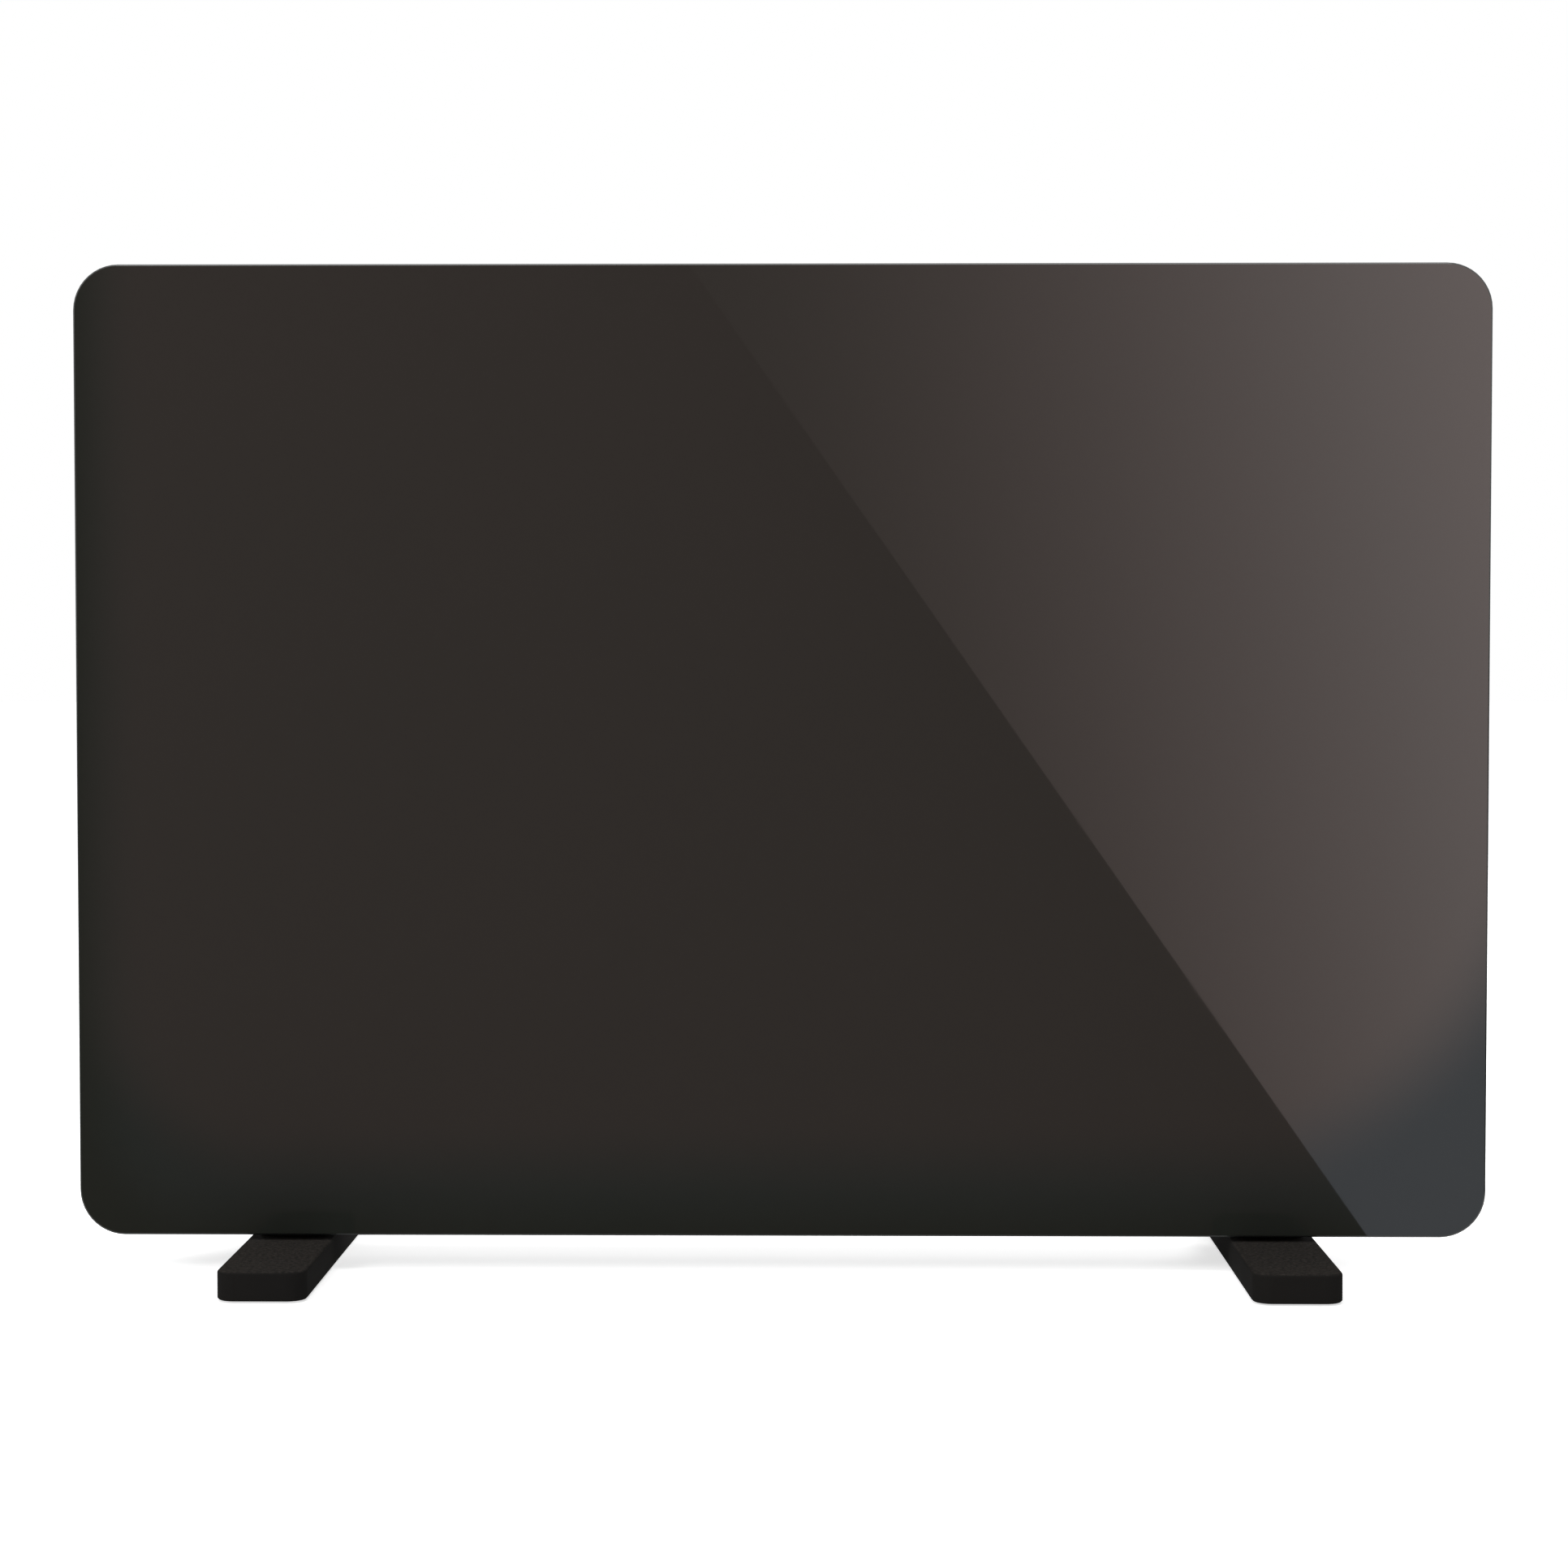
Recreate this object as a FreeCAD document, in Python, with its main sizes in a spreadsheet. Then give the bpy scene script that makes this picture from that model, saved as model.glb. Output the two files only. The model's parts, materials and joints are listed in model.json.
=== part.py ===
import FreeCAD, Part
import math
import os
from types import SimpleNamespace

import Sketcher
from FreeCAD import Placement, Rotation, Vector

# Free-standing glass panel heater, in millimetres.
# +X is to the right as the heater is seen from the front, +Y runs from the glass to the back, +Z is up.
# The origin is on the floor, under the middle of the feet.

# Driving dimensions: name, value, what it is.
DRIVING = (
    ("glass_width", 620, "glass sheet, side to side"),
    ("glass_height", 427, "glass sheet, lower to upper edge"),
    ("glass_thick", 5, "glass sheet"),
    ("glass_corner", 20, "radius of the glass corners"),
    ("glass_arris", 0.7, "bevel ground on the glass edges"),
    ("glass_bottom", 15.5, "lower edge of the glass above the floor"),
    ("bond_thick", 2, "silicone between glass and tray"),
    ("bond_width", 18, "one silicone strip"),
    ("bond_height", 300, "one silicone strip"),
    ("bond_pitch", 150, "from one silicone strip to the next"),
    ("bond_count", 4, "silicone strips"),
    ("foot_length", 224, "foot, front to back"),
    ("foot_width", 38, "foot, side to side"),
    ("foot_thick", 12.4, "bar of the foot"),
    ("foot_corner", 8, "round ends of the foot in plan"),
    ("foot_edge", 1.2, "round along the top of the foot"),
    ("foot_spacing", 435, "between the centres of the feet"),
    ("foot_reach", 75, "foot in front of the glass"),
    ("post_width", 30, "post on the foot, side to side"),
    ("post_depth", 56, "post on the foot, front to back"),
    ("post_corner", 5, "round corners of the post"),
    ("foot_bore", 10.5, "counterbore under the foot"),
    ("foot_bore_top", 22, "top of the counterbore above the floor"),
    ("pad_diameter", 20, "rubber pad under the foot"),
    ("pad_thick", 3, "rubber pad"),
    ("pad_proud", 0.8, "rubber pad below the foot"),
    ("pad_spacing", 184, "between the two pads of a foot"),
    ("foot_screw_spacing", 28, "between the two screws of a foot"),
    ("foot_screw_shank", 5, "diameter"),
    ("foot_screw_length", 22, "shank"),
    ("foot_screw_head", 9.5, "diameter"),
    ("foot_screw_cap", 3.2, "height of the head"),
    ("nut_plate_width", 24, "side to side"),
    ("nut_plate_depth", 38, "front to back"),
    ("nut_plate_thick", 3, "plate with the foot threads"),
    ("sheet_metal", 1.2, "rear cover wall"),
    ("cover_width", 550, "rear cover, side to side"),
    ("cover_height", 372, "rear cover, bottom to top"),
    ("cover_depth", 64, "rear cover, front to back"),
    ("cover_corner", 14, "corner radius seen from behind"),
    ("cover_edge", 5, "bend radius round the back"),
    ("cover_bottom", 38, "underside of the rear cover above the floor"),
    ("tray_sheet", 1, "front tray wall"),
    ("tray_rim", 12, "depth of the tray's rim"),
    ("fit_gap", 0.3, "play between pieces that slide together"),
    ("rim_pitch_z", 146, "between rim screws on a side"),
    ("rim_pitch_x", 300, "between rim screws on the top or bottom"),
    ("rim_screw_shank", 3.6, "diameter"),
    ("rim_screw_length", 8, "shank"),
    ("rim_screw_head", 7.4, "diameter"),
    ("rim_screw_cap", 2.4, "height of the head"),
    ("vent_width", 4, "one air slot"),
    ("vent_pitch", 10, "from one air slot to the next"),
    ("vent_length", 36, "air slot in the top or bottom"),
    ("vent_middle", 37, "middle of these slots behind the tray's front"),
    ("outlet_count", 47, "slots in the top"),
    ("inlet_count", 37, "slots in the bottom"),
    ("rear_vent_length", 30, "air slot in the back"),
    ("rear_vent_rise", 135, "slot rows above and below the middle of the back"),
    ("rear_vent_count", 37, "slots in one row of the back"),
    ("emboss_width", 360, "stiffening panel pressed into the back"),
    ("emboss_height", 130, "stiffening panel"),
    ("emboss_depth", 2, "stiffening panel"),
    ("emboss_corner", 12, "stiffening panel"),
    ("wall_pitch_x", 300, "between wall inserts, side to side"),
    ("wall_pitch_z", 180, "between wall inserts, up and down"),
    ("insert_flange", 11, "diameter of a wall insert's flange"),
    ("insert_lip", 1, "thickness of a wall insert's flange"),
    ("insert_body", 7, "diameter of a wall insert's barrel"),
    ("insert_length", 10, "barrel of a wall insert"),
    ("insert_thread", 4.2, "core diameter of its thread"),
    ("element_length", 416, "finned part of a heating element"),
    ("element_left", -228, "left end of the fins"),
    ("element_rise", 120, "axis of the lower element above the floor"),
    ("element_pitch", 65, "between the two element axes"),
    ("element_back", 26, "element axis behind the tray's front"),
    ("fin_span", 44, "tip to tip of two opposite fins"),
    ("fin_thick", 1.6, "one fin"),
    ("fin_hub", 13, "diameter round the rod"),
    ("rod_diameter", 8, "sheath of the heating rod"),
    ("rod_tail", 20, "rod past the left end of the fins"),
    ("rod_length", 459, "sheath of the heating rod"),
    ("rod_pin", 3, "diameter of the cold pins"),
    ("rod_pin_length", 6, "cold pin past the sheath"),
    ("bush_flange", 18, "diameter of the ceramic bush flange"),
    ("bush_lip", 4, "thickness of the ceramic bush flange"),
    ("bush_neck", 11.6, "diameter of the ceramic bush neck"),
    ("bush_length", 5, "neck of the ceramic bush"),
    ("bush_hole", 12, "hole for the neck"),
    ("partition_x", 204, "hot face of the partition"),
    ("bracket_x", -235, "hot face of the left bracket"),
    ("plate_sheet", 1, "partition and bracket"),
    ("plate_depth", 47, "partition and bracket, front to back"),
    ("plate_flange", 12, "foot of the plate on the tray"),
    ("partition_bottom", 60, "above the floor"),
    ("partition_height", 332, "bottom to top"),
    ("bracket_bottom", 95, "above the floor"),
    ("bracket_height", 115, "bottom to top"),
    ("shield_width", 430, "heat shield, side to side"),
    ("shield_height", 180, "heat shield, bottom to top"),
    ("shield_middle_x", -15, "middle of the heat shield"),
    ("shield_middle_z", 160, "middle of the heat shield above the floor"),
    ("shield_back", 50, "heat shield behind the tray's front"),
    ("shield_rim", 6, "depth of the shield's rim"),
    ("shield_sheet", 0.8, "heat shield wall"),
    ("shield_pitch_x", 410, "between spacers, side to side"),
    ("shield_pitch_z", 150, "between spacers, up and down"),
    ("spacer_diameter", 8, "tube between shield and cover"),
    ("spacer_bore", 3.8, "its bore"),
    ("cutout_rise", 262, "overheat limiter above the floor"),
    ("cutout_body", 15.6, "diameter"),
    ("cutout_flange", 19, "diameter"),
    ("cutout_hole", 16.4, "its hole in the partition"),
    ("panel_depth", 46, "control panel flange, front to back"),
    ("panel_height", 128, "control panel flange, bottom to top"),
    ("panel_corner", 6, "control panel flange"),
    ("panel_thick", 2.5, "control panel flange"),
    ("panel_plug", 4, "part of the panel inside the wall"),
    ("panel_lip", 4, "flange past the front and back of the cut-out"),
    ("panel_lip_end", 9, "flange past the ends of the cut-out"),
    ("panel_middle_y", 37, "middle of the panel behind the tray's front"),
    ("panel_middle_z", 317, "middle of the panel above the floor"),
    ("panel_screw_shank", 2.9, "diameter"),
    ("panel_screw_length", 8, "shank"),
    ("panel_screw_head", 5.4, "diameter"),
    ("panel_screw_cap", 1.6, "height of the head"),
    ("knob_rise", 28, "knob above the panel's middle"),
    ("knob_start", 135, "degrees from the lowest setting to straight up"),
    ("knob_diameter", 36, "thermostat knob"),
    ("knob_height", 17, "thermostat knob"),
    ("knob_lift", 1, "gap between knob and panel"),
    ("knob_recess", 27, "hollow under the knob, diameter"),
    ("knob_recess_depth", 4.5, "hollow under the knob"),
    ("knob_edge", 2, "round on the knob's face"),
    ("knob_flutes", 24, "grip grooves"),
    ("flute_diameter", 3, "one grip groove"),
    ("pointer_width", 1.6, "groove that points to the setting"),
    ("pointer_length", 11, "groove that points to the setting"),
    ("pointer_depth", 0.7, "groove that points to the setting"),
    ("spindle_diameter", 6, "thermostat spindle"),
    ("spindle_length", 30, "thermostat spindle"),
    ("running_gap", 0.05, "radial play of a turning pin"),
    ("bush_thread", 8, "thermostat bush, diameter"),
    ("bush_reach", 9.5, "thermostat bush past the panel's inner face"),
    ("thermostat_depth", 24, "along X"),
    ("thermostat_width", 32, "along Y"),
    ("thermostat_height", 36, "along Z"),
    ("nut_flats", 11, "thermostat nut across flats"),
    ("nut_thick", 2.5, "thermostat nut"),
    ("switch_drop", 27, "switches below the panel's middle"),
    ("switch_pitch", 19, "between the two switches"),
    ("switch_bezel_width", 15.5, "switch flange, front to back"),
    ("switch_bezel_height", 31.5, "switch flange, bottom to top"),
    ("switch_bezel", 2, "switch flange"),
    ("switch_width", 12.4, "switch body, front to back"),
    ("switch_height", 28.2, "switch body, bottom to top"),
    ("switch_depth", 15, "switch body behind the panel's face"),
    ("switch_wall", 0.8, "wall of the switch body"),
    ("switch_cavity", 11, "hollow for the rocker"),
    ("pivot_depth", 0.5, "rocker axis behind the panel's face"),
    ("rocker_half", 12, "rocker axis to the end of a lobe"),
    ("rocker_valley", 2.6, "rocker axis to the middle of the face"),
    ("rocker_rise", 2.1, "lobe end above the middle of the face"),
    ("rocker_root", 3, "rocker axis to its underside"),
    ("rocker_width", 10.2, "rocker, front to back"),
    ("rocker_pin", 3, "diameter of the rocker's pivots"),
    ("rocker_pin_length", 12, "across both pivots"),
    ("lamp_drop", 1, "pilot lamp below the panel's middle"),
    ("lamp_diameter", 6, "pilot lamp"),
    ("lamp_flange", 8, "pilot lamp collar"),
    ("lamp_dome", 2.2, "pilot lamp past its collar"),
    ("lamp_length", 16, "pilot lamp behind the panel's face"),
    ("tab_width", 6.3, "flat terminal"),
    ("tab_thick", 0.8, "flat terminal"),
    ("tab_length", 8, "flat terminal"),
    ("tip_x", 240, "middle of the tip-over switch"),
    ("tip_rise", 176, "pendulum axis above the floor"),
    ("tip_back", 25, "pendulum axis behind the tray's front"),
    ("tip_sheet", 1.2, "tip-over bracket"),
    ("tip_gap", 23.6, "between the bracket's ears"),
    ("tip_ear", 20, "height of an ear"),
    ("tip_base_height", 60, "bracket plate on the tray"),
    ("tip_pin", 3, "pendulum axle"),
    ("pendulum_arm", 30, "axle to the middle of the weight"),
    ("pendulum_hub", 8, "diameter"),
    ("pendulum_nose", 1.2, "cam on top of the hub that works the micro switch"),
    ("pendulum_weight", 14, "diameter"),
    ("pendulum_width", 18, "along the axle"),
    ("micro_width", 20, "micro switch, side to side"),
    ("micro_depth", 6.4, "micro switch, front to back"),
    ("micro_height", 10, "micro switch, bottom to top"),
    ("micro_plunger", 2, "diameter"),
    ("block_x", 238, "middle of the terminal block"),
    ("block_rise", 62, "underside of the terminal block above the floor"),
    ("block_width", 34, "terminal block, side to side"),
    ("block_depth", 16, "terminal block, front to back"),
    ("block_height", 22, "terminal block, bottom to top"),
    ("block_pitch", 10, "between its poles"),
    ("block_screw", 5, "diameter of a terminal screw"),
    ("block_screw_depth", 3, "length of a terminal screw"),
    ("earth_x", 262, "earth stud"),
    ("earth_rise", 112, "earth stud above the floor"),
    ("earth_diameter", 4, "earth stud"),
    ("earth_length", 12, "earth stud"),
    ("earth_flats", 7, "earth nut across flats"),
    ("earth_nut_thick", 3.2, "earth nut"),
    ("gland_x", 238, "mains inlet"),
    ("gland_rise", 76, "mains inlet above the floor"),
    ("gland_bore", 8, "bore for the mains lead"),
    ("gland_flats", 19, "gland collar across flats"),
    ("gland_collar", 5, "gland collar"),
    ("gland_nose", 15, "diameter of the gland's nose"),
    ("gland_nose_length", 7, "gland's nose"),
    ("gland_thread", 12, "diameter of the gland's thread"),
    ("gland_thread_length", 12, "gland's thread"),
    ("gland_nut_flats", 17, "locknut across flats"),
    ("gland_nut_thick", 4, "locknut"),
    ("wire_diameter", 2.4, "insulated wire"),
    ("wire_bend", 5, "bend radius of a wire"),
)


class Size:
    """A length: its value and the sheet expression that works it out."""

    def __init__(self, value, text):
        self.value = value
        self.text = text

    def __add__(self, other):
        other = as_size(other)
        return Size(self.value + other.value, f"({self.text} + {other.text})")

    def __sub__(self, other):
        other = as_size(other)
        return Size(self.value - other.value, f"({self.text} - {other.text})")

    def __mul__(self, factor):
        factor = as_size(factor)
        return Size(self.value * factor.value, f"({self.text} * {factor.text})")

    def __truediv__(self, divisor):
        return Size(self.value / divisor, f"({self.text} / {divisor})")

    def __neg__(self):
        return Size(-self.value, f"(0 - {self.text})")


def as_size(number):
    """A plain number as a Size, and a Size as it is."""
    if isinstance(number, Size):
        return number
    return Size(number, f"({number})")


doc = FreeCAD.newDocument("GlassPanelHeater")
pieces = []


def fill_sheet():
    """Writes the driving dimensions to the sheet and returns them by name."""
    sheet = doc.addObject("Spreadsheet::Sheet", "Sizes")
    named = {}
    for row, (alias, value, note) in enumerate(DRIVING, start=1):
        sheet.set(f"A{row}", alias)
        sheet.set(f"B{row}", str(value))
        sheet.setAlias(f"B{row}", alias)
        sheet.set(f"C{row}", note)
        named[alias] = Size(value, f"Sizes.{alias}")
    doc.recompute()
    return SimpleNamespace(**named)


size = fill_sheet()
ZERO = as_size(0)

# Places that several pieces share.
GLASS_FRONT = size.foot_reach - size.foot_length / 2
HOUSE_FRONT = GLASS_FRONT + size.glass_thick + size.bond_thick
HOUSE_BACK = HOUSE_FRONT + size.cover_depth
HOUSE_MIDDLE_Y = HOUSE_FRONT + size.cover_depth / 2
HOUSE_MIDDLE_Z = size.cover_bottom + size.cover_height / 2
TRAY_BACK = HOUSE_FRONT + size.tray_sheet
COVER_INSIDE = HOUSE_BACK - size.sheet_metal
SIDE_WALL = size.cover_width / 2
PANEL_FACE = SIDE_WALL + size.panel_thick
PANEL_INSIDE = SIDE_WALL - size.panel_plug
PANEL_Y = HOUSE_FRONT + size.panel_middle_y
ELEMENT_Y = HOUSE_FRONT + size.element_back
ELEMENT_RISES = (size.element_rise, size.element_rise + size.element_pitch)
KNOB_Z = size.panel_middle_z + size.knob_rise
SWITCH_Z = size.panel_middle_z - size.switch_drop
FRONT_SWITCH_Y = PANEL_Y - size.switch_pitch / 2
REAR_SWITCH_Y = PANEL_Y + size.switch_pitch / 2
TIP_Y = HOUSE_FRONT + size.tip_back
FOOT_TOP = size.pad_proud + size.foot_thick
WINDOW_DEPTH = size.panel_depth - size.panel_lip * 2
WINDOW_HEIGHT = size.panel_height - size.panel_lip_end * 2
WINDOW_CORNER = size.panel_corner - size.panel_lip / 2
PANEL_SCREW_PITCH = size.panel_height - size.panel_lip_end


# Drawing and modelling helpers.

PLANES = {"front": "XZ_Plane", "side": "YZ_Plane", "floor": "XY_Plane"}
NORMAL = {"front": -1, "side": 1, "floor": 1}
TURN_TO = {
    "x": Rotation(Vector(0, 1, 0), 90),
    "y": Rotation(Vector(1, 0, 0), -90),
    "z": Rotation(),
}
plane_of = {}


def bind(thing, name, length):
    """Ties one property of an object to the sheet."""
    thing.setExpression(name, as_size(length).text)


def place(thing, x, y, z):
    """Puts an object's origin at a point worked out from the sheet."""
    for axis, length in zip("xyz", (x, y, z)):
        bind(thing, f"Placement.Base.{axis}", length)


def keep(thing, label):
    """Marks an object as a finished piece, to be written out under that label."""
    thing.Label = label
    pieces.append(thing)
    return thing


def new_body(label, x=ZERO, y=ZERO, z=ZERO, turn=None):
    """A body for one piece, with its origin at that point."""
    body = doc.addObject("PartDesign::Body", label)
    if turn is not None:
        body.Placement = Placement(Vector(), turn)
    place(body, x, y, z)
    return body


def new_sketch(body, plane, offset=ZERO):
    """A sketch on one of the body's own planes, moved along +X, +Y or +Z by offset."""
    support = next(f for f in body.Origin.OriginFeatures if f.Role == PLANES[plane])
    sketch = body.newObject("Sketcher::SketchObject", f"{body.Name}_sketch")
    sketch.AttachmentSupport = [(support, "")]
    sketch.MapMode = "FlatFace"
    bind(sketch, "AttachmentOffset.Base.z", as_size(offset) * NORMAL[plane])
    plane_of[sketch.Name] = plane
    return sketch


def dimension(sketch, kind, where, length):
    """One dimension of a sketch, tied to the sheet."""
    length = as_size(length)
    number = sketch.addConstraint(Sketcher.Constraint(kind, *where, length.value))
    sketch.setExpression(f"Constraints[{number}]", length.text)


def pin_point(sketch, curve, end, x, y):
    """Fixes one point of a curve by its distances from the sketch's origin."""
    dimension(sketch, "DistanceX", (-1, 1, curve, end), x)
    dimension(sketch, "DistanceY", (-1, 1, curve, end), y)


def line(x0, y0, x1, y1):
    return Part.LineSegment(Vector(x0, y0, 0), Vector(x1, y1, 0))


def arc(x, y, radius, start, end):
    """Part of a circle from the angle start to the angle end, in degrees."""
    circle = Part.Circle(Vector(x, y, 0), Vector(0, 0, 1), radius)
    return Part.ArcOfCircle(circle, math.radians(start), math.radians(end))


def draw_circle(sketch, diameter, x=ZERO, y=ZERO):
    diameter, x, y = as_size(diameter), as_size(x), as_size(y)
    circle = Part.Circle(Vector(x.value, y.value, 0), Vector(0, 0, 1), diameter.value / 2)
    number = sketch.addGeometry(circle, False)
    dimension(sketch, "Diameter", (number,), diameter)
    pin_point(sketch, number, 3, x, y)


def draw_rectangle(sketch, width, height, x=ZERO, y=ZERO, corner=None):
    """A rectangle about the point x, y, with round corners where a radius is given."""
    width, height, x, y = (as_size(n) for n in (width, height, x, y))
    right, top = x + width / 2, y + height / 2
    left, bottom = x - width / 2, y - height / 2
    r = corner.value if corner else 0
    low, high = bottom.value + r, top.value - r
    near, far = left.value + r, right.value - r
    sides = [
        line(near, bottom.value, far, bottom.value),
        line(right.value, low, right.value, high),
        line(far, top.value, near, top.value),
        line(left.value, high, left.value, low),
    ]
    numbers = list(sketch.addGeometry(sides, False))
    if corner:
        centres = ((far, low), (far, high), (near, high), (near, low))
        rounds = [arc(*centre, r, 90 * n - 90, 90 * n) for n, centre in enumerate(centres)]
        bends = list(sketch.addGeometry(rounds, False))
        for side, bend in enumerate(bends):
            sketch.addConstraint(Sketcher.Constraint("Tangent", numbers[side], 2, bend, 1))
            sketch.addConstraint(Sketcher.Constraint("Tangent", bend, 2, numbers[(side + 1) % 4], 1))
            if side:
                sketch.addConstraint(Sketcher.Constraint("Equal", bends[0], bend))
        dimension(sketch, "Radius", (bends[0],), corner)
    else:
        for side in range(4):
            joint = (numbers[side], 2, numbers[(side + 1) % 4], 1)
            sketch.addConstraint(Sketcher.Constraint("Coincident", *joint))
    for side, kind in enumerate(("Horizontal", "Vertical", "Horizontal", "Vertical")):
        sketch.addConstraint(Sketcher.Constraint(kind, numbers[side]))
    dimension(sketch, "DistanceY", (-1, 1, numbers[0], 1), bottom)
    dimension(sketch, "DistanceX", (-1, 1, numbers[1], 1), right)
    dimension(sketch, "DistanceY", (-1, 1, numbers[2], 1), top)
    dimension(sketch, "DistanceX", (-1, 1, numbers[3], 1), left)


def draw_slot(sketch, width, length, x, y):
    """A slot with round ends that runs along the sketch's second axis."""
    width, length, x, y = (as_size(n) for n in (width, length, x, y))
    r = width.value / 2
    reach = (length - width) / 2
    high, low = (y + reach).value, (y - reach).value
    outline = [
        line(x.value + r, low, x.value + r, high),
        arc(x.value, high, r, 0, 180),
        line(x.value - r, high, x.value - r, low),
        arc(x.value, low, r, 180, 360),
    ]
    numbers = list(sketch.addGeometry(outline, False))
    for side in range(4):
        joint = (numbers[side], 2, numbers[(side + 1) % 4], 1)
        sketch.addConstraint(Sketcher.Constraint("Tangent", *joint))
    sketch.addConstraint(Sketcher.Constraint("Vertical", numbers[0]))
    dimension(sketch, "Radius", (numbers[1],), width / 2)
    pin_point(sketch, numbers[1], 3, x, y + reach)
    dimension(sketch, "DistanceY", (-1, 1, numbers[3], 3), y - reach)


def pad(body, sketch, length, towards=1, both=False):
    """Adds the sketch's area to the body, along + or - its axis, or half to each side."""
    feature = body.newObject("PartDesign::Pad", f"{body.Name}_pad")
    feature.Profile = sketch
    bind(feature, "Length", length)
    feature.SideType = "Symmetric" if both else "One side"
    feature.Reversed = towards * NORMAL[plane_of[sketch.Name]] < 0
    doc.recompute()
    return feature


def pocket(body, sketch, length=None, towards=1, both=False):
    """Cuts the sketch's area out of the body, right through where no length is given."""
    before = body.Shape.Volume
    feature = body.newObject("PartDesign::Pocket", f"{body.Name}_pocket")
    feature.Profile = sketch
    if length is None:
        feature.Type = "ThroughAll"
    else:
        bind(feature, "Length", length)
    feature.SideType = "Symmetric" if both else "One side"
    feature.Reversed = towards * NORMAL[plane_of[sketch.Name]] > 0
    doc.recompute()
    if body.Shape.Volume > before - 1e-3:
        raise RuntimeError(f"{feature.Label} cuts nothing")
    return feature


def repeat(body, feature, sketch, span, count):
    """Repeats a feature along the first axis of its sketch."""
    pattern = body.newObject("PartDesign::LinearPattern", f"{body.Name}_row")
    pattern.Originals = [feature]
    pattern.Direction = (sketch, ["H_Axis"])
    bind(pattern, "Length", span)
    bind(pattern, "Occurrences", count)
    body.Tip = pattern
    doc.recompute()
    return pattern


def lies_at(axis, level):
    """A test for edges that lie flat where that axis has that value."""
    which = "xyz".index(axis)
    value = as_size(level).value

    def chosen(edge):
        first, last = edge.FirstParameter, edge.LastParameter
        points = [edge.valueAt(t) for t in (first, (first + last) / 2, last)]
        return all(abs(point[which] - value) < 1e-4 for point in points)

    return chosen


def soften(body, kind, length, *tests):
    """Rounds (Fillet) or bevels (Chamfer) the edges that pass one of the tests."""
    base = body.Tip
    edges = [f"Edge{n}" for n, edge in enumerate(base.Shape.Edges, 1) if any(test(edge) for test in tests)]
    feature = body.newObject(f"PartDesign::{kind}", f"{body.Name}_{kind}")
    feature.Base = (base, edges)
    bind(feature, "Radius" if kind == "Fillet" else "Size", length)
    doc.recompute()
    return feature


def block(label, low, sides):
    """A box from its lowest corner and its three sides."""
    box = doc.addObject("Part::Box", label)
    for name, length in zip(("Length", "Width", "Height"), sides):
        bind(box, name, length)
    place(box, *low)
    return box


def cylinder(label, start, axis, diameter, length):
    """A round bar that starts at a point and runs along +X, +Y or +Z."""
    bar = doc.addObject("Part::Cylinder", label)
    bar.Placement = Placement(Vector(), TURN_TO[axis])
    bind(bar, "Radius", as_size(diameter) / 2)
    bind(bar, "Height", length)
    place(bar, *start)
    return bar


def hexagon(label, start, axis, flats, length):
    """A six-sided bar that starts at a point and runs along +X, +Y or +Z."""
    bar = doc.addObject("Part::Prism", label)
    bar.Polygon = 6
    bar.Placement = Placement(Vector(), TURN_TO[axis])
    bind(bar, "Circumradius", as_size(flats) / math.sqrt(3))
    bind(bar, "Height", length)
    place(bar, *start)
    return bar


def fuse(label, *shapes):
    joined = doc.addObject("Part::MultiFuse", label)
    joined.Shapes = list(shapes)
    doc.recompute()
    return joined


def cut(label, base, *tools):
    """The base without the tools."""
    tool = tools[0] if len(tools) == 1 else fuse(f"{label}_tools", *tools)
    left = doc.addObject("Part::Cut", label)
    left.Base = base
    left.Tool = tool
    doc.recompute()
    return left


def pan_screw(label, head, cap, shank, length):
    """A cross-recess screw along Z: its seat at Z = 0, its head above, its shank below."""
    recess_width, recess_depth = head / 7, cap / 2
    dome = cylinder(f"{label}_head", (ZERO, ZERO, ZERO), "z", head, cap)
    doc.recompute()
    rounded = doc.addObject("Part::Fillet", f"{label}_dome")
    rounded.Base = dome
    top = next(n for n, e in enumerate(dome.Shape.Edges, 1) if lies_at("z", cap)(e))
    rounded.Edges = [(top, 0.35 * cap.value, 0.35 * cap.value)]
    stem = cylinder(f"{label}_stem", (ZERO, ZERO, -length), "z", shank, length)
    whole = fuse(f"{label}_whole", rounded, stem)
    long_side, short_side = head * 0.55, recess_width
    bars = [
        block(f"{label}_recess", (-wide / 2, -deep / 2, cap - recess_depth), (wide, deep, cap))
        for wide, deep in ((long_side, short_side), (short_side, long_side))
    ]
    return cut(f"{label}_screw", whole, *bars)


def group(label, template, spots):
    """One node of several equal solids: the template at each point, its Z axis turned to each direction."""
    copies = []
    for point, direction in spots:
        copy = template.Shape.copy()
        position = Vector(*(as_size(n).value for n in point))
        copy.Placement = Placement(position, Rotation(Vector(0, 0, 1), Vector(*direction)))
        copies.append(copy)
    gathered = doc.addObject("Part::Feature", label)
    gathered.Shape = Part.makeCompound(copies)
    return keep(gathered, label)


def spread(pitch, count):
    """Points at that pitch, evenly about zero."""
    return [pitch * (n - (count - 1) / 2) for n in range(count)]


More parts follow.
